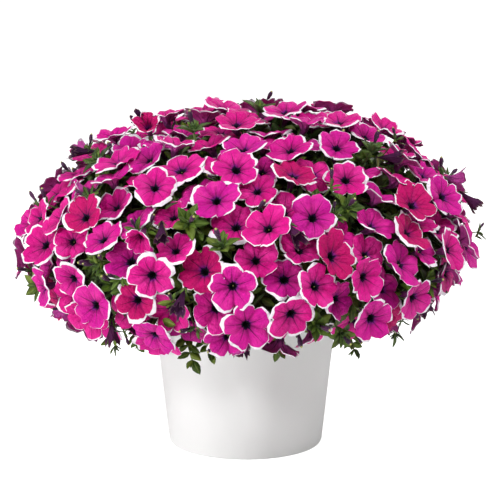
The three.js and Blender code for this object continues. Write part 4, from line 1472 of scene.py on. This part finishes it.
# %% Small buds that find room between the flowers, some of them well out past the petals
SMALL_BUD_SEED, SMALL_BUD_SITES, BUD_SPACING = 31337, 1000, 24
tufts = Blades()
bud_tips = [np.zeros(3)]
for site in range(SMALL_BUD_SITES):
    draw = seeded_draw(SMALL_BUD_SEED * (site + 1))
    share = (site + 0.5) / SMALL_BUD_SITES
    place = place_on(angle_for_share(share), site * GOLDEN_ANGLE + 2.1)
    way = unit(place.outward + (place.around * (draw() - 0.5) + place.down * (draw() - 0.6)) * 1.5)
    length = 16 + 13 * draw()
    standing = draw() < 0.6
    lift = (8 + 9 * draw()) * (1.0 if place.degrees < 95 else 0.2) if standing else 7 * draw() - 3
    tip = place.centre + place.outward * lift
    base = tip - way * length
    stalk = stalk_points(base, place.centre - place.outward * 46)
    chain = np.concatenate([stalk_points(base, tip), stalk])
    lonely = np.linalg.norm(np.array(bud_tips) - tip, axis=1).min() > BUD_SPACING
    if lonely and clear_of_heads(chain, 2.2):
        bud_tips.append(tip)
        add_bud(base, tip, place.around)
        stalks.add(bowed(base, stalk[-1], place.down * 1.5, 4), (0.9, 0.9, 1.2))
        for k in range(rng.integers(4, 10)):
            turn = FULL_TURN * rng.random()
            leaf_way = place.around * math.cos(turn) + place.down * math.sin(turn)
            leaf_way = leaf_way + place.outward * rng.uniform(0.3, 1.2)
            tufts.add(base - way * rng.uniform(1, 9), leaf_way, place.outward, rng.uniform(11, 20), NARROW)
tufts.clear_of_flowers()
print(len(bud_tips) - 1, "small buds with", len(tufts.base), "narrow leaves round them")

# %% Rings of a half-open bloom and of a withered one, whose tubes are long
OPENING_RINGS = (
    (0.0, -30.0, 1, 0, 0.0), (0.1, -26.0, 1, 0, 0.08), (0.2, -20.0, 1, 0, 0.16),
    (0.32, -13.0, 1, 0, 0.3), (0.5, -7.0, 1, 0, 0.48), (0.74, -2.6, 1, 0, 0.74),
    (0.9, -0.9, 1, 0, 0.9), (1.0, -0.6, 1, 0, 1.0),
    (0.9, -2.2, -1, 0, 0.92), (0.64, -6.0, -1, 0, 0.74), (0.42, -12.0, -1.1, 0, 0.56),
    (0.28, -20.0, -1.4, 0, 0.42), (0.18, -29.0, -2, 0, 0.26), (0.13, -34.0, -2, 0, 0.12),
    (0.0, -34.5, -2, 0, 0.0),
)
WITHERED_RINGS = (
    (0.0, -14.0, 1, 0, 0.0), (0.12, -11.0, 1, 0, 0.12), (0.3, -4.0, 1, 0, 0.35),
    (0.52, 3.0, 1, 0, 0.6), (0.72, 8.0, 1, 0, 0.85), (1.0, 12.0, 1, 0, 1.0),
    (0.8, 7.6, -1, 0, 0.85), (0.6, 2.2, -1, 0, 0.7), (0.38, -5.0, -1, 0, 0.5),
    (0.24, -12.0, -1.5, 0, 0.35), (0.18, -20.0, -2, 0, 0.2), (0.0, -21.0, -2, 0, 0.0),
)
print("rings:", len(OPENING_RINGS), "half-open,", len(WITHERED_RINGS), "withered")


# %% Where half-open and withered blooms find room
def late_blooms(count, seed, spread, droop, out, body, gap):
    """Blooms with their mouths hanging, on places of the mound that the flowers left free."""
    found = []
    for site in range(count):
        draw = seeded_draw(seed * (site + 1))
        place = place_on(angle_for_share((site + 0.5) / count), site * GOLDEN_ANGLE + seed)
        if place.degrees < 24:
            continue
        hang = droop * min(1, place.degrees / 75)
        axis = place.outward * 0.7 + place.down * hang - UP * hang * 0.5
        axis = unit(axis + place.around * (draw() - 0.5))
        lift = out if place.degrees < 95 else out - 14
        centre = place.centre + place.outward * (lift + 7 * draw())
        calyx = centre - axis * body
        stalk = stalk_points(calyx, place.centre - place.outward * 48)
        apart = all(np.linalg.norm(other.head.centre - centre) > spread for other in found)
        chains = (stalk_points(calyx, centre + axis * 5), gap), (stalk, 2)
        if apart and all(clear_of_heads(*chain) for chain in chains):
            head = head_at(centre, axis, FULL_TURN * draw(), 1.0, body, draw)
            found.append(SimpleNamespace(head=head, neck=calyx, root=centre - axis * (body + 1), size=draw(),
                                         own=rng.random(3), cup=rng.normal(0, 1.5), droop=5 * rng.random()))
            add_calyx(calyx, -axis, head.side)
            stalks.add(bowed(calyx, stalk[-1], place.down * 3, 5), (2.2, 1.0, 1.0, 1.2))
    return found


opening = late_blooms(count=1300, seed=16127, spread=42, droop=0.45, out=4, body=33, gap=6.5)
withered = late_blooms(count=500, seed=23993, spread=60, droop=0.9, out=0, body=19, gap=6)
for bloom in opening:
    bloom.head.radius = 13 + 5 * bloom.size
for bloom in withered:
    bloom.head.radius = 8 + 4 * bloom.size
print(len(opening), "half-open and", len(withered), "withered blooms")

# %% Withered petals, and the late blooms as pieces
withered_purple, tree, surface = new_material("withered_petal", 0.7, Specular_IOR_Level=0.2)
disc, tone = carried(tree, "disc"), own_tone(tree)
marks = use_group(tree, ribs, Disc=disc, Seed=tone * 40.0, Width=0.05)
purple = mixed(tone, paint(54, 18, 58), paint(88, 26, 78))
purple = mixed(marks["Veins"] * 0.7, purple, paint(26, 8, 30))
purple = mixed(eased(marks["Distance"], 0.86, 1.0) * 0.5, purple, paint(160, 130, 120))
plug(purple, surface.inputs["Base Color"])
bumped(surface, marks["Veins"] + cloud(disc, 5.0, 3.0, tone) * 3.0, 0.9, 0.002)

for name, rings, rim, group, wave, ruffle, dye in (
    ("half_open_blooms", OPENING_RINGS, 7, opening, 8.0, 6.0, petal),
    ("withered_blooms", WITHERED_RINGS, 5, withered, 24.0, 22.0, withered_purple),
):
    form = add_object("plain_" + name, plain_corolla("plain_" + name, rings, rim))
    helpers.append(form)
    count = grow_piece(
        name, "petals", (), corollas, flower_points(name + "_points", group), cells=len(group),
        aspect=2.0, Corolla=form, Wave=wave, Ruffle=ruffle, Material=dye,
    )
    print(name, count, "triangles")

# %% The yellow-green stigma that shows in some of the throats
stigma_green, tree, surface = new_material("stigma", 0.5, Coat_Weight=0.3)
tone = own_tone(tree)
plug(mixed(tone, paint(112, 124, 56), paint(160, 160, 84)), surface.inputs["Base Color"])
bpy.ops.mesh.primitive_ico_sphere_add(subdivisions=1, radius=MM)
bpy.context.object.data.shade_smooth()
stigma_kinds = new_kinds("stigma_kinds", bpy.context.object)
STIGMA_SHARE = 0.25
stigmas = Blades()
for flower in flowers:
    if flower.own[2] < STIGMA_SHARE:
        spot = in_world(flower.head, 0.5, 0.4, -10.5)
        stigmas.add(spot, flower.head.axis, flower.head.side, 0.75 + 0.4 * flower.own[0], 0)
count = grow_piece(
    "stigmas", "petals", (), settled, stigmas.points("stigmas"),
    Kinds=stigma_kinds, Material=stigma_green,
)
print("stigmas", count, "triangles")

# %% Trailing shoots over the rim
TRAILS = (
    # azimuth, then start inside, over the edge and end as radius and height, then leaf size
    (-115, (150, 226), (206, 216), (202, 158), 19), (-109, (150, 226), (200, 214), (190, 168), 17),
    (-49, (150, 228), (200, 212), (198, 160), 18), (-132, (180, 228), (216, 208), (218, 176), 18),
    (-84, (160, 228), (196, 212), (190, 172), 17), (-18, (180, 228), (208, 210), (204, 160), 19),
    (40, (170, 228), (194, 206), (186, 150), 20), (95, (170, 228), (192, 208), (186, 158), 19),
    (150, (170, 228), (196, 206), (190, 148), 20), (205, (180, 228), (202, 208), (196, 156), 19),
)
TRAIL_NODES = 13
trail_leaves = Blades()
for azimuth, *knots, size in TRAILS:
    turn = radians(azimuth)
    outward = np.array([math.cos(turn), math.sin(turn), 0])
    around = np.array([-math.sin(turn), math.cos(turn), 0])
    first, over, last = (outward * radius + UP * height for radius, height in knots)
    share = np.linspace(0, 1, TRAIL_NODES)[:, None]
    path = (1 - share) ** 2 * first + 2 * share * (1 - share) * over + share ** 2 * last
    path = path + around * (16 * share ** 2 + 4 * np.sin(3.5 * share + azimuth))
    stalks.add(path, (2.0, 1.5, 1.0))
    for k in range(4, TRAIL_NODES):
        spot, way = path[k], unit(path[k] - path[k - 1])
        turn = azimuth + 2.4 * k
        for half in (1, -1):
            aside = around * math.cos(turn) * half + outward * (0.35 + 0.3 * math.sin(turn) * half)
            face = outward + UP * 0.5 + 0.2 * rng.normal(size=3)
            trail_leaves.add(spot, aside + way * 0.45, face, size * rng.uniform(0.75, 1.15), k % BROAD_KINDS)
    for k in range(7):
        aside = around * math.cos(1.6 * k) + outward * math.sin(1.6 * k)
        trail_leaves.add(path[-1], unit(path[-1] - path[-2]) + aside * (0.4 + 0.12 * k), outward, 11, NARROW)
trail_leaves.clear_of_flowers(3.0)
print(len(trail_leaves.base), "leaves on", len(TRAILS), "trailing shoots")

# %% [markdown]
# ## Growing the green parts
# All the lists of leaves, buds and stalks are grown here, each into one piece. Petunia stalks,
# sepals and buds feel sticky because fine pale hairs cover them, so a last grower scatters small
# shapes over a surface. The potting mix uses it again for its crumbs.

# %% Growing the green parts and the buds
for name, blades in (
    ("rosette_leaves", rosettes), ("stalk_leaves", stalk_leaves), ("inner_leaves", filling),
    ("trailing_leaves", trail_leaves), ("tuft_leaves", tufts), ("sepals", sepals), ("buds", buds),
):
    kinds, dye = (bud_kinds, bud_purple) if blades is buds else (leaf_kinds, leaf_green)
    count = grow_piece(
        name, "foliage", ["foliage"], settled, blades.points(name), cells=len(blades.base),
        Kinds=kinds, Material=dye,
    )
    print(name, count, "triangles")
count = grow_piece(
    "stalks", "foliage", ["foliage"], swept, stalks.mesh("stalks"), Sides=6, Material=stalk_green,
)
print("stalks", count, "triangles")

# %% The grower that scatters small shapes over a surface
scattered, given, end = new_grower(
    "scattered_shapes",
    ("Shape", "Object"), ("Density", "Float"), ("Facing", "Float"), ("Material", "Material"),
)
normal = Field(scattered.nodes.new("GeometryNodeInputNormal").outputs[0])
scatter = step(
    "DistributePointsOnFaces", given["Geometry"], Density=given["Density"], Seed=7,
    Selection=formula("GREATER_THAN", parts_of(normal)[2], given["Facing"]),
)
chance = new_node(
    scattered, "FunctionNodeRandomValue", (0.5, 0.5, 0.3), (1.6, 1.6, 1.0),
    modes={"data_type": "FLOAT_VECTOR"}, Seed=3,
)
set_out = step(
    "InstanceOnPoints", scatter, Instance=shape_of(given["Shape"]),
    Rotation=Field(scatter.socket.node.outputs["Rotation"]), Scale=Field(chance.outputs[0]),
)
end_grower(set_out, given, end)
print("scattering grower:", len(scattered.nodes), "nodes")

# %% Fine hairs on stalks, sepals and buds
hair_pale, tree, surface = new_material("stalk_hair", 0.5, Sheen_Weight=0.3)
tint = mottled(tree, 40.0)["Patches"]
plug(mixed(tint, paint(150, 172, 110), paint(206, 216, 176)), surface.inputs["Base Color"])
HAIR_LENGTH, HAIR_THICKNESS, ANY_WAY = 1.8, 0.1, -2.0
hair = add_object("plain_hair", new_mesh(
    "plain_hair",
    [(HAIR_THICKNESS, 0, -0.2), (-HAIR_THICKNESS / 2, HAIR_THICKNESS, -0.2),
     (-HAIR_THICKNESS / 2, -HAIR_THICKNESS, -0.2), (0.25, 0.1, HAIR_LENGTH)],
    [(0, 1, 3), (1, 2, 3), (2, 0, 3), (0, 2, 1)],
))
helpers.append(hair)
for host, density in (("stalks", 30000.0), ("sepals", 50000.0), ("buds", 70000.0)):
    count = grow_piece(
        host + "_hairs", "foliage", ["foliage"], scattered, bpy.data.objects[host].data.copy(),
        Shape=hair, Density=density, Facing=ANY_WAY, Material=hair_pale,
    )
    print(host, "hairs:", count, "triangles")

# %% Dark leafy core, painted in shade
shaded_core_green, tree, surface = new_material("inner_foliage_painted_shade", 0.85)
spots = mottled(tree, 38.0)
# Painted shade: one closed sheet stands for the many leaves deep inside the mound, in near-black greens as
# they look in shade, with a mottle of leaf colour.
dark = mixed(eased(spots["Patches"], 0.35, 0.7), paint(16, 24, 10), paint(44, 62, 24))
plug(dark, surface.inputs["Base Color"])
bumped(surface, spots["Patches"] + spots["Grain"] * 0.3, 1.0, 0.006)
FINE_CORE_RINGS, FINE_CORE_SIDES = 20, 56
points, faces = core_mesh(FINE_CORE_RINGS, FINE_CORE_SIDES)
mesh = new_mesh("leafy_core", points, [face[::-1] for face in faces])
mesh.materials.append(shaded_core_green)
count = finish_piece("leafy_core", mesh, ["foliage"])
print("leafy core:", count, "triangles")

# %% [markdown]
# ## Pot and potting mix
# The pot is one moulded piece of matt white plastic, wider at the rim, with six drainage holes.
# It is turned from its profile with enough sides to look round, and the holes are cut with a
# Boolean modifier. The mix is dark and crumbly, so crumbs are scattered over its top.

# %% Matt white plastic
pot_white, tree, surface = new_material("matt_white_plastic", 0.42, Specular_IOR_Level=0.45)
spots = mottled(tree, 22.0)
white = mixed(spots["Patches"] * 0.5, paint(240, 240, 239), paint(234, 234, 233))
plug(white, surface.inputs["Base Color"])
plug(spots["Patches"] * 0.06 + 0.4, surface.inputs["Roughness"])
bumped(surface, spots["Grain"], 0.08, 0.0004)
print("pot material:", len(tree.nodes), "nodes")


# %% Pot, turned from its profile
def wall_at(height):
    return POT_BASE_RADIUS + (POT_RIM_RADIUS - POT_BASE_RADIUS - 2) * height / POT_HEIGHT


def turned_mesh(name, profile, sides):
    """Turns a profile of (radius, height) points round the Z axis; radius 0 closes it."""
    points, rows, faces = [], [], []
    for radius, height in profile:
        ring = 1 if radius == 0 else sides
        rows.append(list(range(len(points), len(points) + ring)))
        for k in range(ring):
            angle = 2 * math.pi * k / sides
            points.append((radius * math.cos(angle), radius * math.sin(angle), height))
    for below, above in zip(rows, rows[1:]):
        for k in range(sides):
            after = (k + 1) % sides
            corners = [below[k % len(below)], below[after % len(below)],
                       above[after % len(above)], above[k % len(above)]]
            faces.append(tuple(dict.fromkeys(corners)))
    return new_mesh(name, points, faces)


# %% Pot with its drainage holes
band = POT_HEIGHT - POT_BAND_HEIGHT
profile = [
    (0, 0), (POT_BASE_RADIUS - 3.2, 0), (POT_BASE_RADIUS - 1.6, 0.35), (POT_BASE_RADIUS - 0.6, 1.3),
    (wall_at(4), 4), (wall_at(60), 60), (wall_at(120), 120), (wall_at(band), band),
    (POT_RIM_RADIUS - 1, band + 3), (POT_RIM_RADIUS, POT_HEIGHT - 1.5),
    (POT_RIM_RADIUS - 0.5, POT_HEIGHT - 0.4), (POT_RIM_RADIUS - 1.2, POT_HEIGHT),
    (POT_RIM_RADIUS - POT_WALL - 1.2, POT_HEIGHT), (wall_at(band) - POT_WALL, band),
    (wall_at(POT_FLOOR) - POT_WALL, POT_FLOOR), (0, POT_FLOOR),
]
POT_SIDES = 120
tub = add_object("tub", turned_mesh("tub", profile, POT_SIDES))
drills = []
for k in range(DRAIN_HOLES):
    angle = 2 * math.pi * k / DRAIN_HOLES
    bpy.ops.mesh.primitive_cylinder_add(
        vertices=24, radius=DRAIN_HOLE_RADIUS * MM, depth=0.03,
        location=(DRAIN_CIRCLE_RADIUS * MM * math.cos(angle), DRAIN_CIRCLE_RADIUS * MM * math.sin(angle), 0),
    )
    drills.append(bpy.context.object)
for drill in drills:
    cut = tub.modifiers.new("drain_hole", "BOOLEAN")
    cut.object, cut.operation, cut.solver = drill, "DIFFERENCE", "EXACT"
pot_mesh = plain_mesh(tub)
for drill in drills:
    bpy.data.objects.remove(drill)
pot_mesh.materials.clear()
pot_mesh.materials.append(pot_white)
pot_mesh.shade_smooth()
pot_mesh.set_sharp_from_angle(angle=radians(35))
count = finish_piece("plastic_pot", pot_mesh, ["pot"])
print("pot:", count, "triangles")

# %% Potting mix and its crumbs
mix_brown, tree, surface = new_material("potting_mix", 0.95)
spots = mottled(tree, 60.0)
brown = mixed(spots["Patches"], paint(40, 28, 20), paint(78, 56, 40))
brown = mixed(eased(spots["Grain"], 0.6, 0.7), brown, paint(110, 84, 60))
plug(brown, surface.inputs["Base Color"])
bumped(surface, spots["Grain"], 1.0, 0.002)
soil = frame["nodes"]["potting_mix"]
soil.data.materials.clear()
soil.data.materials.append(mix_brown)

bpy.ops.mesh.primitive_ico_sphere_add(subdivisions=1, radius=2.2 * MM)
crumb = bpy.context.object
for number, point in enumerate(crumb.data.vertices):
    point.co *= 0.75 + 0.5 * ((number * 7) % 5) / 5
helpers.append(crumb)
count = grow_piece(
    "mix_crumbs", "potting_mix", (), scattered, soil.data.copy(),
    Shape=crumb, Density=20000.0, Facing=0.7, Material=mix_brown,
)
print("crumbs:", count, "triangles")

# %% [markdown]
# ## Floor, light and camera
# The plant stands on a plain pale floor in a white studio. A soft light from the upper left and a
# high one on the right give the petals their shape, and a low one brightens the pot's left side.
# The lights behind and above lift the edge of the mound, and the white surroundings fill the
# rest. The camera looks slightly down, from far away, through a long lens.

# %% Floor and backdrop
floor_white, tree, surface = new_material("studio_white", 0.9, Specular_IOR_Level=0.0)
surface.inputs["Base Color"].default_value = (0.92, 0.92, 0.92, 1.0)
surface.inputs["Emission Color"].default_value = (1.0, 1.0, 1.0, 1.0)
seen = Field(tree.nodes.new("ShaderNodeLightPath").outputs["Is Camera Ray"])
plug(0.1 + seen * 0.8, surface.inputs["Emission Strength"])
FLOOR_HALF = 40000
corners = [(FLOOR_HALF * x, FLOOR_HALF * y, 0) for x, y in ((-1, -1), (1, -1), (1, 1), (-1, 1))]
floor = add_object("studio_floor", new_mesh("studio_floor", corners, [(0, 1, 2, 3)]))
floor.data.materials.append(floor_white)
floor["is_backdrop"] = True
print("floor:", 2 * FLOOR_HALF * MM, "m across")

# %% Surrounding light and lamps
world = bpy.data.worlds.new("studio")
scene.world = world
world.use_nodes = True
tree = world.node_tree
background = tree.nodes["Background"]
seen = Field(tree.nodes.new("ShaderNodeLightPath").outputs["Is Camera Ray"])
background.inputs["Color"].default_value = (1.0, 1.0, 1.0, 1.0)
plug(0.22 + seen * 0.8, background.inputs["Strength"])
scene.view_settings.view_transform = "Standard"


def add_lamp(name, place, aim, size, power):
    """A round soft lamp. Places and size are in metres, power in watts."""
    data = bpy.data.lights.new(name, "AREA")
    data.shape = "DISK"
    data.size = size
    data.energy = power
    lamp = add_object(name, data)
    lamp.location = place
    direction = np.array(aim) - np.array(place)
    lamp.rotation_mode = "QUATERNION"
    lamp.rotation_quaternion = Vector(direction).to_track_quat("-Z", "Y")
    lamp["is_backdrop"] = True


add_lamp("key_light", (-1.2, -2.5, 1.9), (0, 0, 0.3), 0.8, 33.0)
add_lamp("low_left_light", (-2.7, -1.2, 0.3), (0, 0, 0.1), 0.4, 40.0)
add_lamp("back_light", (0.6, 2.6, 1.7), (0, 0, 0.25), 1.2, 14.0)
add_lamp("rim_light", (2.2, 1.6, 0.45), (0.05, 0, 0.1), 0.4, 3.0)
add_lamp("right_light", (1.8, -1.1, 2.8), (0, 0, 0.3), 0.8, 50.0)
add_lamp("top_light", (0.0, -0.8, 2.7), (0, 0, 0.3), 1.0, 16.0)
print(len(bpy.data.lights), "lamps")

# %% Camera
CAMERA_DISTANCE, CAMERA_ELEVATION, LENS = 2.6, 10.5, 141.8
camera_data = bpy.data.cameras.new("camera")
camera_data.lens = LENS
camera = add_object("camera", camera_data)
elevation = radians(CAMERA_ELEVATION)
target = np.array([-0.0007, 0.0, 0.2698])
back = np.array([0.0, -math.cos(elevation), math.sin(elevation)])
camera.location = target + CAMERA_DISTANCE * back
camera.rotation_euler = (math.pi / 2 - elevation, 0.0, 0.0)
scene.camera = camera
print("camera:", CAMERA_DISTANCE, "m away, with a", LENS, "mm lens")

# %% Sizes before and after
for helper in helpers:
    bpy.data.objects.remove(helper)
bpy.context.view_layer.update()
low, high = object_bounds()
({
    "solid": [list(solid_low), list(solid_high)],
    "dressed": [list(low), list(high)],
})
print("solid:", [round(v, 3) for v in (*solid_low, *solid_high)])
print("dressed:", [round(v, 3) for v in (*low, *high)])
